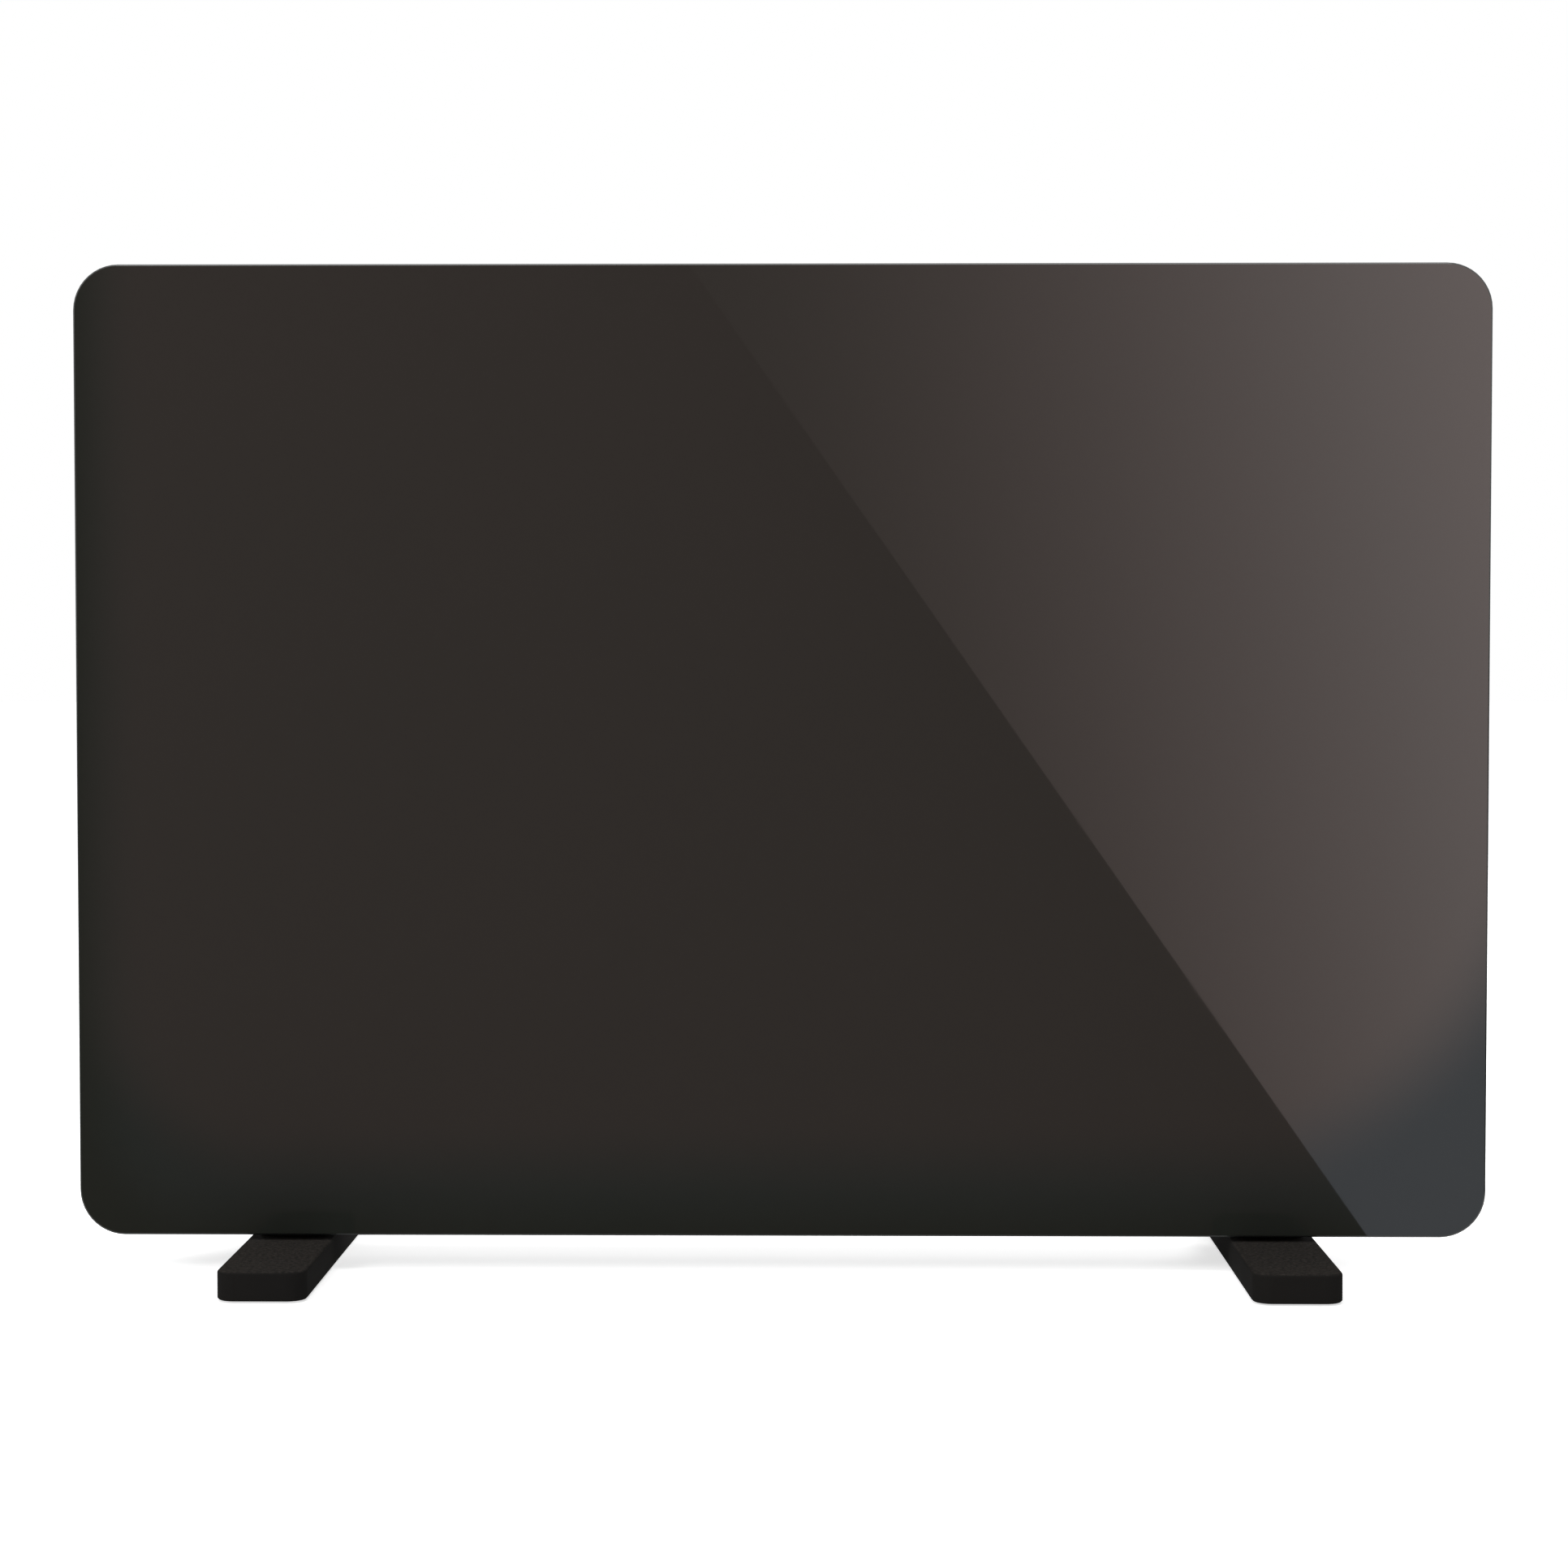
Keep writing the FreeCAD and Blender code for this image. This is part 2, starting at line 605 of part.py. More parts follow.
def open_box(label, front, middle, sides, corner, wall, edge, opens_back):
    """A pressed sheet tray in the front plane: its front at front, its middle at middle, one side open."""
    width, height, depth = sides
    x, z = middle
    body = new_body(label, x, front, z)
    outline = new_sketch(body, "front")
    draw_rectangle(outline, width, height, corner=corner)
    pad(body, outline, depth)
    floor_inside = wall if opens_back else depth - wall
    hollow = new_sketch(body, "front", floor_inside)
    draw_rectangle(hollow, width - wall * 2, height - wall * 2, corner=corner - wall)
    pocket(body, hollow, towards=1 if opens_back else -1)
    soften(body, "Fillet", edge - wall, lies_at("y", floor_inside))
    floor_outside = ZERO if opens_back else depth
    soften(body, "Fillet", edge, lies_at("y", floor_outside))
    return body


def rim_holes(body, diameter):
    """Screw holes through the four walls of a tray, in the middle of the front tray's rim."""
    depth = size.tray_rim / 2
    sides = new_sketch(body, "side")
    for z in spread(size.rim_pitch_z, 3):
        draw_circle(sides, diameter, depth, z)
    pocket(body, sides, both=True)
    ends = new_sketch(body, "floor")
    for x in spread(size.rim_pitch_x, 2):
        draw_circle(ends, diameter, x, depth)
    pocket(body, ends, both=True)


# Glass.

def glass_panel():
    body = new_body("glass_panel", ZERO, GLASS_FRONT, size.glass_bottom + size.glass_height / 2)
    outline = new_sketch(body, "front")
    draw_rectangle(outline, size.glass_width, size.glass_height, corner=size.glass_corner)
    pad(body, outline, size.glass_thick)
    soften(body, "Chamfer", size.glass_arris, lies_at("y", ZERO), lies_at("y", size.glass_thick))
    keep(body, "glass_panel")


def glass_bond_strips():
    body = new_body("glass_bond_strips", ZERO, GLASS_FRONT + size.glass_thick, HOUSE_MIDDLE_Z)
    first = -(size.bond_pitch * (size.bond_count.value - 1) / 2)
    strip = new_sketch(body, "front")
    draw_rectangle(strip, size.bond_width, size.bond_height, first, ZERO)
    bead = pad(body, strip, size.bond_thick)
    repeat(body, bead, strip, -(first * 2), size.bond_count)
    keep(body, "glass_bond_strips")


# Housing.

def front_tray():
    width = size.cover_width - (size.sheet_metal + size.fit_gap) * 2
    height = size.cover_height - (size.sheet_metal + size.fit_gap) * 2
    corner = size.cover_corner - size.sheet_metal - size.fit_gap
    body = open_box(
        "front_tray",
        HOUSE_FRONT,
        (ZERO, HOUSE_MIDDLE_Z),
        (width, height, size.tray_rim),
        corner,
        size.tray_sheet,
        size.tray_sheet * 2,
        opens_back=True,
    )
    rim_holes(body, size.rim_screw_shank + size.fit_gap)
    keep(body, "front_tray")


def press_panel(body):
    """The stiffening panel that is pressed into the back of the cover."""
    inside = size.cover_depth - size.sheet_metal
    raised = new_sketch(body, "front", inside - size.emboss_depth)
    edge = size.sheet_metal * 2
    draw_rectangle(raised, size.emboss_width + edge, size.emboss_height + edge, corner=size.emboss_corner)
    pad(body, raised, size.emboss_depth)
    sunk = new_sketch(body, "front", size.cover_depth)
    draw_rectangle(sunk, size.emboss_width, size.emboss_height, corner=size.emboss_corner - size.sheet_metal)
    pocket(body, sunk, size.emboss_depth, towards=-1)


def cut_vents(body):
    """Air slots in the top, the bottom and the back of the cover."""
    for count, towards in ((size.outlet_count, 1), (size.inlet_count, -1)):
        span = size.vent_pitch * (count - 1)
        slot = new_sketch(body, "floor")
        draw_slot(slot, size.vent_width, size.vent_length, -span / 2, size.vent_middle)
        repeat(body, pocket(body, slot, towards=towards), slot, span, count)
    span = size.vent_pitch * (size.rear_vent_count - 1)
    rows = new_sketch(body, "front", size.cover_depth)
    for rise in (size.rear_vent_rise, -size.rear_vent_rise):
        draw_slot(rows, size.vent_width, size.rear_vent_length, -span / 2, rise)
    deep = size.sheet_metal * 2
    repeat(body, pocket(body, rows, deep, towards=-1), rows, span, size.rear_vent_count)


def rear_cover():
    body = open_box(
        "rear_cover",
        HOUSE_FRONT,
        (ZERO, HOUSE_MIDDLE_Z),
        (size.cover_width, size.cover_height, size.cover_depth),
        size.cover_corner,
        size.sheet_metal,
        size.cover_edge,
        opens_back=False,
    )
    press_panel(body)
    cut_vents(body)
    rim_holes(body, size.rim_screw_shank + size.fit_gap * 2)
    window = new_sketch(body, "side")
    panel_y, panel_z = size.panel_middle_y, size.panel_middle_z - HOUSE_MIDDLE_Z
    draw_rectangle(window, WINDOW_DEPTH, WINDOW_HEIGHT, panel_y, panel_z, corner=WINDOW_CORNER)
    for z in spread(PANEL_SCREW_PITCH, 2):
        draw_circle(window, size.panel_screw_shank + size.fit_gap, panel_y, panel_z + z)
    pocket(body, window, towards=1)
    bolts = new_sketch(body, "floor")
    for x in spread(size.foot_spacing, 2):
        for y in spread(size.foot_screw_spacing, 2):
            draw_circle(bolts, size.foot_screw_shank + size.fit_gap * 2, x, size.cover_depth / 2 + y)
    pocket(body, bolts, towards=-1)
    back = new_sketch(body, "front", size.cover_depth)
    for x in spread(size.wall_pitch_x, 2):
        for z in spread(size.wall_pitch_z, 2):
            draw_circle(back, size.insert_body + size.fit_gap / 2, x, z)
    inlet_z = size.gland_rise - HOUSE_MIDDLE_Z
    draw_circle(back, size.gland_thread + size.fit_gap, size.gland_x, inlet_z)
    pocket(body, back, size.sheet_metal * 2, towards=-1)
    keep(body, "rear_cover")


def rear_cover_screws():
    screw = pan_screw(
        "rim", size.rim_screw_head, size.rim_screw_cap, size.rim_screw_shank, size.rim_screw_length
    )
    y = HOUSE_FRONT + size.tray_rim / 2
    top = size.cover_bottom + size.cover_height
    spots = []
    for z in spread(size.rim_pitch_z, 3):
        spots.append(((SIDE_WALL, y, HOUSE_MIDDLE_Z + z), (1, 0, 0)))
        spots.append(((-SIDE_WALL, y, HOUSE_MIDDLE_Z + z), (-1, 0, 0)))
    for x in spread(size.rim_pitch_x, 2):
        spots.append(((x, y, top), (0, 0, 1)))
        spots.append(((x, y, size.cover_bottom), (0, 0, -1)))
    group("rear_cover_screws", screw, spots)
    return screw


def wall_inserts():
    start = (ZERO, ZERO, -size.insert_length)
    barrel = cylinder("insert_barrel", start, "z", size.insert_body, size.insert_length)
    flange = cylinder("insert_flange", (ZERO, ZERO, ZERO), "z", size.insert_flange, size.insert_lip)
    whole = fuse("insert_whole", barrel, flange)
    thread = cylinder("insert_thread", start, "z", size.insert_thread, size.insert_length + size.insert_lip)
    insert = cut("insert", whole, thread)
    spots = [
        ((x, HOUSE_BACK, HOUSE_MIDDLE_Z + z), (0, 1, 0))
        for x in spread(size.wall_pitch_x, 2)
        for z in spread(size.wall_pitch_z, 2)
    ]
    group("wall_inserts", insert, spots)


# Heating elements and the plates that carry them.

def element_fins(label, rise):
    """Four fins round a tube, along X, turned so that they make an X seen from the end."""
    body = new_body(label, size.element_left, ELEMENT_Y, rise, turn=Rotation(Vector(1, 0, 0), 45))
    for width, height in ((size.fin_span, size.fin_thick), (size.fin_thick, size.fin_span)):
        blade = new_sketch(body, "side")
        draw_rectangle(blade, width, height)
        pad(body, blade, size.element_length)
    hub = new_sketch(body, "side")
    draw_circle(hub, size.fin_hub)
    pad(body, hub, size.element_length)
    bore = new_sketch(body, "side")
    draw_circle(bore, size.rod_diameter + size.fit_gap)
    pocket(body, bore, towards=1)
    keep(body, label)


def element_rod(label, rise):
    left = size.element_left - size.rod_tail
    tube = cylinder(f"{label}_tube", (left, ELEMENT_Y, rise), "x", size.rod_diameter, size.rod_length)
    pins = cylinder(
        f"{label}_pins",
        (left - size.rod_pin_length, ELEMENT_Y, rise),
        "x",
        size.rod_pin,
        size.rod_length + size.rod_pin_length * 2,
    )
    keep(fuse(f"{label}_rod", tube, pins), label)


def element_insulators():
    """Ceramic bushes with their flanges on the hot sides of the two plates."""
    flange = cylinder("bush_flange", (ZERO, ZERO, ZERO), "z", size.bush_flange, size.bush_lip)
    neck = cylinder("bush_neck", (ZERO, ZERO, -size.bush_length), "z", size.bush_neck, size.bush_length)
    whole = fuse("bush_whole", flange, neck)
    length = size.bush_length + size.bush_lip
    bore_diameter = size.rod_diameter + size.fit_gap
    bore = cylinder("bush_bore", (ZERO, ZERO, -size.bush_length), "z", bore_diameter, length)
    bush = cut("bush", whole, bore)
    spots = []
    for rise in ELEMENT_RISES:
        spots.append(((size.partition_x, ELEMENT_Y, rise), (-1, 0, 0)))
        spots.append(((size.bracket_x, ELEMENT_Y, rise), (1, 0, 0)))
    group("element_insulators", bush, spots)


def element_plate(label, hot_face, towards, bottom, height):
    """A sheet across the housing, with a flange on the tray and holes for the two rods."""
    body = new_body(label, hot_face, TRAY_BACK, bottom)
    sheet = new_sketch(body, "side")
    draw_rectangle(sheet, size.plate_depth, height, size.plate_depth / 2, height / 2)
    pad(body, sheet, size.plate_sheet, towards=towards)
    foot = new_sketch(body, "front")
    draw_rectangle(foot, size.plate_flange, height, size.plate_flange / 2 * towards, height / 2)
    pad(body, foot, size.plate_sheet)
    holes = new_sketch(body, "side")
    for rise in ELEMENT_RISES:
        draw_circle(holes, size.bush_hole, ELEMENT_Y - TRAY_BACK, rise - bottom)
    pocket(body, holes, both=True)
    return body


def partition_plate():
    body = element_plate("partition_plate", size.partition_x, 1, size.partition_bottom, size.partition_height)
    hole = new_sketch(body, "side")
    draw_circle(hole, size.cutout_hole, ELEMENT_Y - TRAY_BACK, size.cutout_rise - size.partition_bottom)
    pocket(body, hole, both=True)
    keep(body, "partition_plate")


def left_element_bracket():
    body = element_plate("left_element_bracket", size.bracket_x, -1, size.bracket_bottom, size.bracket_height)
    keep(body, "left_element_bracket")


def heat_shield():
    body = open_box(
        "heat_shield",
        HOUSE_FRONT + size.shield_back,
        (size.shield_middle_x, size.shield_middle_z),
        (size.shield_width, size.shield_height, size.shield_rim),
        size.shield_rim,
        size.shield_sheet,
        size.shield_sheet * 2,
        opens_back=True,
    )
    holes = new_sketch(body, "front")
    for x in spread(size.shield_pitch_x, 2):
        for z in spread(size.shield_pitch_z, 2):
            draw_circle(holes, size.rim_screw_shank + size.fit_gap * 2, x, z)
    pocket(body, holes, towards=1)
    keep(body, "heat_shield")


def heat_shield_fixings(screw):
    """Threaded spacers on the cover's inner face, and the screws that hold the shield to them."""
    front = HOUSE_FRONT + size.shield_back
    length = COVER_INSIDE - front - size.shield_sheet
    tube = cylinder("spacer_tube", (ZERO, ZERO, -length), "z", size.spacer_diameter, length)
    bore = cylinder("spacer_bore", (ZERO, ZERO, -length), "z", size.spacer_bore, length)
    spacer = cut("spacer", tube, bore)
    points = [
        (size.shield_middle_x + x, size.shield_middle_z + z)
        for x in spread(size.shield_pitch_x, 2)
        for z in spread(size.shield_pitch_z, 2)
    ]
    seat = front + size.shield_sheet
    group("heat_shield_spacers", spacer, [((x, seat, z), (0, -1, 0)) for x, z in points])
    group("heat_shield_screws", screw, [((x, front, z), (0, -1, 0)) for x, z in points])


def thermal_cutout():
    """Overheat limiter: its cap on the hot side of the partition, its terminals on the cool side."""
    y, z, wall = ELEMENT_Y, size.cutout_rise, size.partition_x
    flange_thick, cap_depth, body_depth = 1, 5, 9
    flange = cylinder("cutout_disc", (wall - flange_thick, y, z), "x", size.cutout_flange, flange_thick)
    cap_start = wall - flange_thick - cap_depth
    cap = cylinder("cutout_cap", (cap_start, y, z), "x", size.cutout_body, cap_depth)
    drum = cylinder("cutout_drum", (wall, y, z), "x", size.cutout_body, body_depth)
    tabs = [
        block(
            "cutout_tab",
            (wall + body_depth, y - size.tab_width / 2, z + offset - size.tab_thick / 2),
            (size.tab_length, size.tab_width, size.tab_thick),
        )
        for offset in spread(size.tab_length, 2)
    ]
    keep(fuse("cutout_whole", flange, cap, drum, *tabs), "thermal_cutout")


# Controls in the right side wall.

def control_panel():
    body = new_body("control_panel", SIDE_WALL, PANEL_Y, size.panel_middle_z)
    plate = new_sketch(body, "side")
    draw_rectangle(plate, size.panel_depth, size.panel_height, corner=size.panel_corner)
    pad(body, plate, size.panel_thick)
    soften(body, "Fillet", size.panel_thick / 2, lies_at("x", size.panel_thick))
    plug = new_sketch(body, "side")
    play = size.fit_gap * 2
    draw_rectangle(plug, WINDOW_DEPTH - play, WINDOW_HEIGHT - play, corner=WINDOW_CORNER)
    pad(body, plug, size.panel_plug, towards=-1)
    holes = new_sketch(body, "side")
    draw_circle(holes, size.bush_thread + size.fit_gap, ZERO, size.knob_rise)
    draw_circle(holes, size.lamp_diameter + size.fit_gap, ZERO, -size.lamp_drop)
    for y in spread(size.switch_pitch, 2):
        gap = size.fit_gap
        draw_rectangle(holes, size.switch_width + gap, size.switch_height + gap, y, -size.switch_drop)
    pocket(body, holes, both=True)
    screws = new_sketch(body, "side")
    for z in spread(PANEL_SCREW_PITCH, 2):
        draw_circle(screws, size.panel_screw_shank + size.fit_gap, ZERO, z)
    pocket(body, screws, both=True)
    keep(body, "control_panel")


def control_panel_screws():
    screw = pan_screw(
        "panel", size.panel_screw_head, size.panel_screw_cap, size.panel_screw_shank, size.panel_screw_length
    )
    heights = [size.panel_middle_z + z for z in spread(PANEL_SCREW_PITCH, 2)]
    spots = [((PANEL_FACE, PANEL_Y, z), (1, 0, 0)) for z in heights]
    group("control_panel_screws", screw, spots)


def thermostat():
    """The thermostat behind the panel, its nut in front, and the spindle that the knob turns."""
    back = PANEL_INSIDE - size.thermostat_depth
    low = (back, PANEL_Y - size.thermostat_width / 2, KNOB_Z - size.thermostat_height / 2)
    sides = (size.thermostat_depth, size.thermostat_width, size.thermostat_height)
    case = block("thermostat_case", low, sides)
    bush_start = (PANEL_INSIDE, PANEL_Y, KNOB_Z)
    bush = cylinder("thermostat_bush", bush_start, "x", size.bush_thread, size.bush_reach)
    tab_spots = (
        (ZERO, -size.tab_length),
        (-size.tab_width, size.tab_length),
        (size.tab_width, size.tab_length),
    )
    tabs = [
        block(
            "thermostat_tab",
            (back - size.tab_length, PANEL_Y + y - size.tab_width / 2, KNOB_Z + z - size.tab_thick / 2),
            (size.tab_length, size.tab_width, size.tab_thick),
        )
        for y, z in tab_spots
    ]
    whole = fuse("thermostat_whole", case, bush, *tabs)
    tip = PANEL_FACE + size.knob_lift + size.knob_height - size.knob_edge
    root = tip - size.spindle_length
    bore_diameter = size.spindle_diameter + size.running_gap * 2
    bore_start = (root - size.fit_gap, PANEL_Y, KNOB_Z)
    bore = cylinder("thermostat_bore", bore_start, "x", bore_diameter, size.spindle_length)
    keep(cut("thermostat_cut", whole, bore), "thermostat_body")
    spindle = cylinder("spindle", (root, PANEL_Y, KNOB_Z), "x", size.spindle_diameter, size.spindle_length)
    keep(spindle, "thermostat_spindle")
    seat = (PANEL_FACE, PANEL_Y, KNOB_Z)
    nut = hexagon("thermostat_hexagon", seat, "x", size.nut_flats, size.nut_thick)
    thread = cylinder("thermostat_thread", seat, "x", size.bush_thread, size.nut_thick)
    keep(cut("thermostat_nut_cut", nut, thread), "thermostat_nut")


def thermostat_knob():
    """The knob at its lowest setting."""
    turn = Rotation(Vector(1, 0, 0), size.knob_start.value)
    body = new_body("thermostat_knob", PANEL_FACE + size.knob_lift, PANEL_Y, KNOB_Z, turn=turn)
    disc = new_sketch(body, "side")
    draw_circle(disc, size.knob_diameter)
    pad(body, disc, size.knob_height)
    soften(body, "Fillet", size.knob_edge, lies_at("x", size.knob_height))
    flute = new_sketch(body, "side")
    draw_circle(flute, size.flute_diameter, ZERO, size.knob_diameter / 2 + size.flute_diameter / 4)
    groove = pocket(body, flute, towards=1)
    ring = body.newObject("PartDesign::PolarPattern", "knob_ring")
    ring.Originals = [groove]
    ring.Axis = (flute, ["N_Axis"])
    ring.Angle = 360
    bind(ring, "Occurrences", size.knob_flutes)
    body.Tip = ring
    doc.recompute()
    recess = new_sketch(body, "side")
    draw_circle(recess, size.knob_recess)
    pocket(body, recess, size.knob_recess_depth, towards=1)
    bore = new_sketch(body, "side")
    draw_circle(bore, size.spindle_diameter + size.running_gap * 2)
    pocket(body, bore, size.knob_height - size.knob_edge, towards=1)
    pointer = new_sketch(body, "side", size.knob_height)
    pointer_middle = size.knob_diameter / 2 - size.knob_edge - size.pointer_length / 2
    draw_rectangle(pointer, size.pointer_width, size.pointer_length, ZERO, pointer_middle)
    pocket(body, pointer, size.pointer_depth, towards=-1)
    keep(body, "thermostat_knob")


def switch_case(label, y):
    """Body of a rocker switch: a flange on the panel, a hollow for the rocker, two terminals behind."""
    body = new_body(label, PANEL_FACE, y, SWITCH_Z)
    flange = new_sketch(body, "side")
    corner = size.switch_bezel * 0.75
    draw_rectangle(flange, size.switch_bezel_width, size.switch_bezel_height, corner=corner)
    pad(body, flange, size.switch_bezel)
    soften(body, "Fillet", size.switch_bezel / 2, lies_at("x", size.switch_bezel))
    barrel = new_sketch(body, "side")
    draw_rectangle(barrel, size.switch_width, size.switch_height)
    pad(body, barrel, size.switch_depth, towards=-1)
    hollow = new_sketch(body, "side", size.switch_bezel)
    inset = size.switch_wall * 2
    draw_rectangle(hollow, size.switch_width - inset, size.switch_height - inset)
    pocket(body, hollow, size.switch_cavity + size.switch_bezel, towards=-1)
    pivots = new_sketch(body, "front")
    draw_circle(pivots, size.rocker_pin + size.running_gap * 2, -size.pivot_depth, ZERO)
    pocket(body, pivots, both=True)
    terminals = new_sketch(body, "side", -size.switch_depth)
    for z in spread(size.tab_length * 2, 2):
        draw_rectangle(terminals, size.tab_width, size.tab_thick, ZERO, z)
    pad(body, terminals, size.tab_length, towards=-1)
    keep(body, label)


def switch_rocker(label, y):
    """A rocker at rest in its off position: its upper lobe stands out, its lower lobe is level."""
    off_tilt = math.degrees(math.atan2(size.rocker_rise.value, size.rocker_half.value))
    turn = Rotation(Vector(0, 1, 0), off_tilt)
    body = new_body(label, PANEL_FACE - size.pivot_depth, y, SWITCH_Z, turn=turn)
    half, valley, root = size.rocker_half, size.rocker_valley, size.rocker_root
    crest = valley + size.rocker_rise
    reach = math.hypot(half.value, crest.value)
    corner = math.sqrt(reach**2 - root.value**2)
    crest_angle = math.degrees(math.atan2(half.value, crest.value))
    root_angle = math.degrees(math.atan2(corner, -root.value))
    profile = new_sketch(body, "front")
    outline = [
        line(valley.value, 0, crest.value, half.value),
        arc(0, 0, reach, crest_angle, root_angle),
        line(-root.value, corner, -root.value, -corner),
        arc(0, 0, reach, -root_angle, -crest_angle),
        line(crest.value, -half.value, valley.value, 0),
    ]
    upper, end, back, other_end, lower = profile.addGeometry(outline, False)
    joints = ((upper, 2, end, 1), (end, 2, back, 1), (back, 2, other_end, 1), (other_end, 2, lower, 1))
    for joint in joints:
        profile.addConstraint(Sketcher.Constraint("Coincident", *joint))
    profile.addConstraint(Sketcher.Constraint("Coincident", lower, 2, upper, 1))
    for bow in (end, other_end):
        profile.addConstraint(Sketcher.Constraint("Coincident", bow, 3, -1, 1))
    profile.addConstraint(Sketcher.Constraint("Vertical", back))
    pin_point(profile, upper, 1, valley, ZERO)
    pin_point(profile, upper, 2, crest, half)
    pin_point(profile, lower, 1, crest, -half)
    dimension(profile, "DistanceX", (-1, 1, back, 1), -root)
    pad(body, profile, size.rocker_width, both=True)
    pivot = new_sketch(body, "front")
    draw_circle(pivot, size.rocker_pin)
    pad(body, pivot, size.rocker_pin_length, both=True)
    keep(body, label)


def pilot_lamp():
    """A neon lamp in the panel: a barrel behind, a thin collar and a low round dome in front."""
    z = size.panel_middle_z - size.lamp_drop
    start = PANEL_FACE - size.lamp_length
    barrel = cylinder("lamp_barrel", (start, PANEL_Y, z), "x", size.lamp_diameter, size.lamp_length)
    collar_thick = size.lamp_dome / 3
    collar = cylinder("lamp_collar", (PANEL_FACE, PANEL_Y, z), "x", size.lamp_flange, collar_thick)
    dome_height = size.lamp_dome
    dome_start = PANEL_FACE + collar_thick
    dome = cylinder("lamp_dome", (dome_start, PANEL_Y, z), "x", size.lamp_diameter, dome_height)
    doc.recompute()
    face = (dome_start + dome_height).value
    rounded = doc.addObject("Part::Fillet", "lamp_round")
    rounded.Base = dome
    rim = next(n for n, e in enumerate(dome.Shape.Edges, 1) if lies_at("x", face)(e))
    rounded.Edges = [(rim, dome_height.value * 0.9, dome_height.value * 0.9)]
    keep(fuse("lamp_whole", barrel, collar, rounded), "pilot_lamp")


# Tip-over switch.

def tip_switch():
    """A bracket on the tray, a pendulum on its axle, and the micro switch that the pendulum works."""
    x, y, z = size.tip_x, TIP_Y, size.tip_rise
    sheet, gap, ear = size.tip_sheet, size.tip_gap, size.tip_ear
    width = gap + sheet * 2
    left = x - width / 2
    depth = y - TRAY_BACK + ear / 2
    shelf_z = z + ear / 2
    low = shelf_z - size.tip_base_height
    base = block("tip_base", (left, TRAY_BACK, low), (width, sheet, size.tip_base_height))
    shelf = block("tip_shelf", (left, TRAY_BACK, shelf_z), (width, depth, sheet))
    ears = [
        block("tip_ear_plate", (start, TRAY_BACK, z - ear / 2), (sheet, depth, ear))
        for start in (left, x + gap / 2)
    ]
    plates = fuse("tip_plates", base, shelf, *ears)
    axle_hole = cylinder("tip_axle_hole", (left, y, z), "x", size.tip_pin + size.running_gap, width)
    plunger_play = size.micro_plunger + size.fit_gap * 2
    plunger_hole = cylinder("tip_plunger_hole", (x, y, shelf_z), "z", plunger_play, sheet)
    keep(cut("tip_plates_cut", plates, axle_hole, plunger_hole), "tip_switch_bracket")

    overhang = sheet
    axle = cylinder("tip_axle", (left - overhang, y, z), "x", size.tip_pin, width + overhang * 2)
    keep(axle, "tip_switch_pin")

    wide = size.pendulum_width
    hub = cylinder("pendulum_hub", (x - wide / 2, y, z), "x", size.pendulum_hub, wide)
    arm_width = size.pendulum_hub / 2
    arm_low = z - size.pendulum_arm
    arm_corner = (x - arm_width / 2, y - arm_width / 2, arm_low)
    arm = block("pendulum_arm", arm_corner, (arm_width, arm_width, size.pendulum_arm))
    bob = cylinder("pendulum_bob", (x - wide / 2, y, arm_low), "x", size.pendulum_weight, wide)
    nose_top = size.pendulum_hub / 2 + size.pendulum_nose
    nose_width = size.micro_plunger
    nose_corner = (x - arm_width / 2, y - nose_width / 2, z)
    nose = block("pendulum_cam", nose_corner, (arm_width, nose_width, nose_top))
    swing = fuse("pendulum_whole", hub, arm, bob, nose)
    bore = cylinder("pendulum_bore", (x - wide / 2, y, z), "x", size.tip_pin + size.running_gap * 2, wide)
    keep(cut("pendulum_cut", swing, bore), "tip_switch_pendulum")

    seat = shelf_z + sheet
    case = block(
        "micro_case",
        (x - size.micro_width / 2, y - size.micro_depth / 2, seat),
        (size.micro_width, size.micro_depth, size.micro_height),
    )
    plunger_low = z + nose_top + size.fit_gap
    plunger = cylinder("micro_plunger", (x, y, plunger_low), "z", size.micro_plunger, seat - plunger_low)
    tabs = [
        block(
            "micro_tab",
            (x + offset - size.tab_thick / 2, y - size.tab_width / 2, seat + size.micro_height),
            (size.tab_thick, size.tab_width, size.tab_length),
        )
        for offset in spread(size.micro_width - size.tab_width, 2)
    ]
    keep(fuse("micro_whole", case, plunger, *tabs), "tip_micro_switch")


# Mains connection.

def terminal_block():
    x, low = size.block_x, size.block_rise
    corner = (x - size.block_width / 2, TRAY_BACK, low)
    whole = block("terminal_case", corner, (size.block_width, size.block_depth, size.block_height))
    face = TRAY_BACK + size.block_depth
    depth = size.block_screw_depth + size.fit_gap
    points = [
        (x + offset, low + size.block_height / 2 + rise)
        for offset in spread(size.block_pitch, 3)
        for rise in spread(size.block_pitch, 2)
    ]
    wells = [
        cylinder("terminal_well", (px, face - depth, pz), "y", size.block_screw + size.fit_gap, depth)
        for px, pz in points
    ]
    keep(cut("terminal_cut", whole, *wells), "terminal_block")

    length = size.block_screw_depth
    head = cylinder("terminal_head", (ZERO, ZERO, -length), "z", size.block_screw, length)
    slot_width = size.block_screw / 6
    slot_low = (-size.block_screw, -slot_width / 2, -length / 3)
    slot = block("terminal_slot", slot_low, (size.block_screw * 2, slot_width, length))
    screw = cut("terminal_screw", head, slot)
    group("terminal_screws", screw, [((px, face - size.fit_gap, pz), (0, 1, 0)) for px, pz in points])


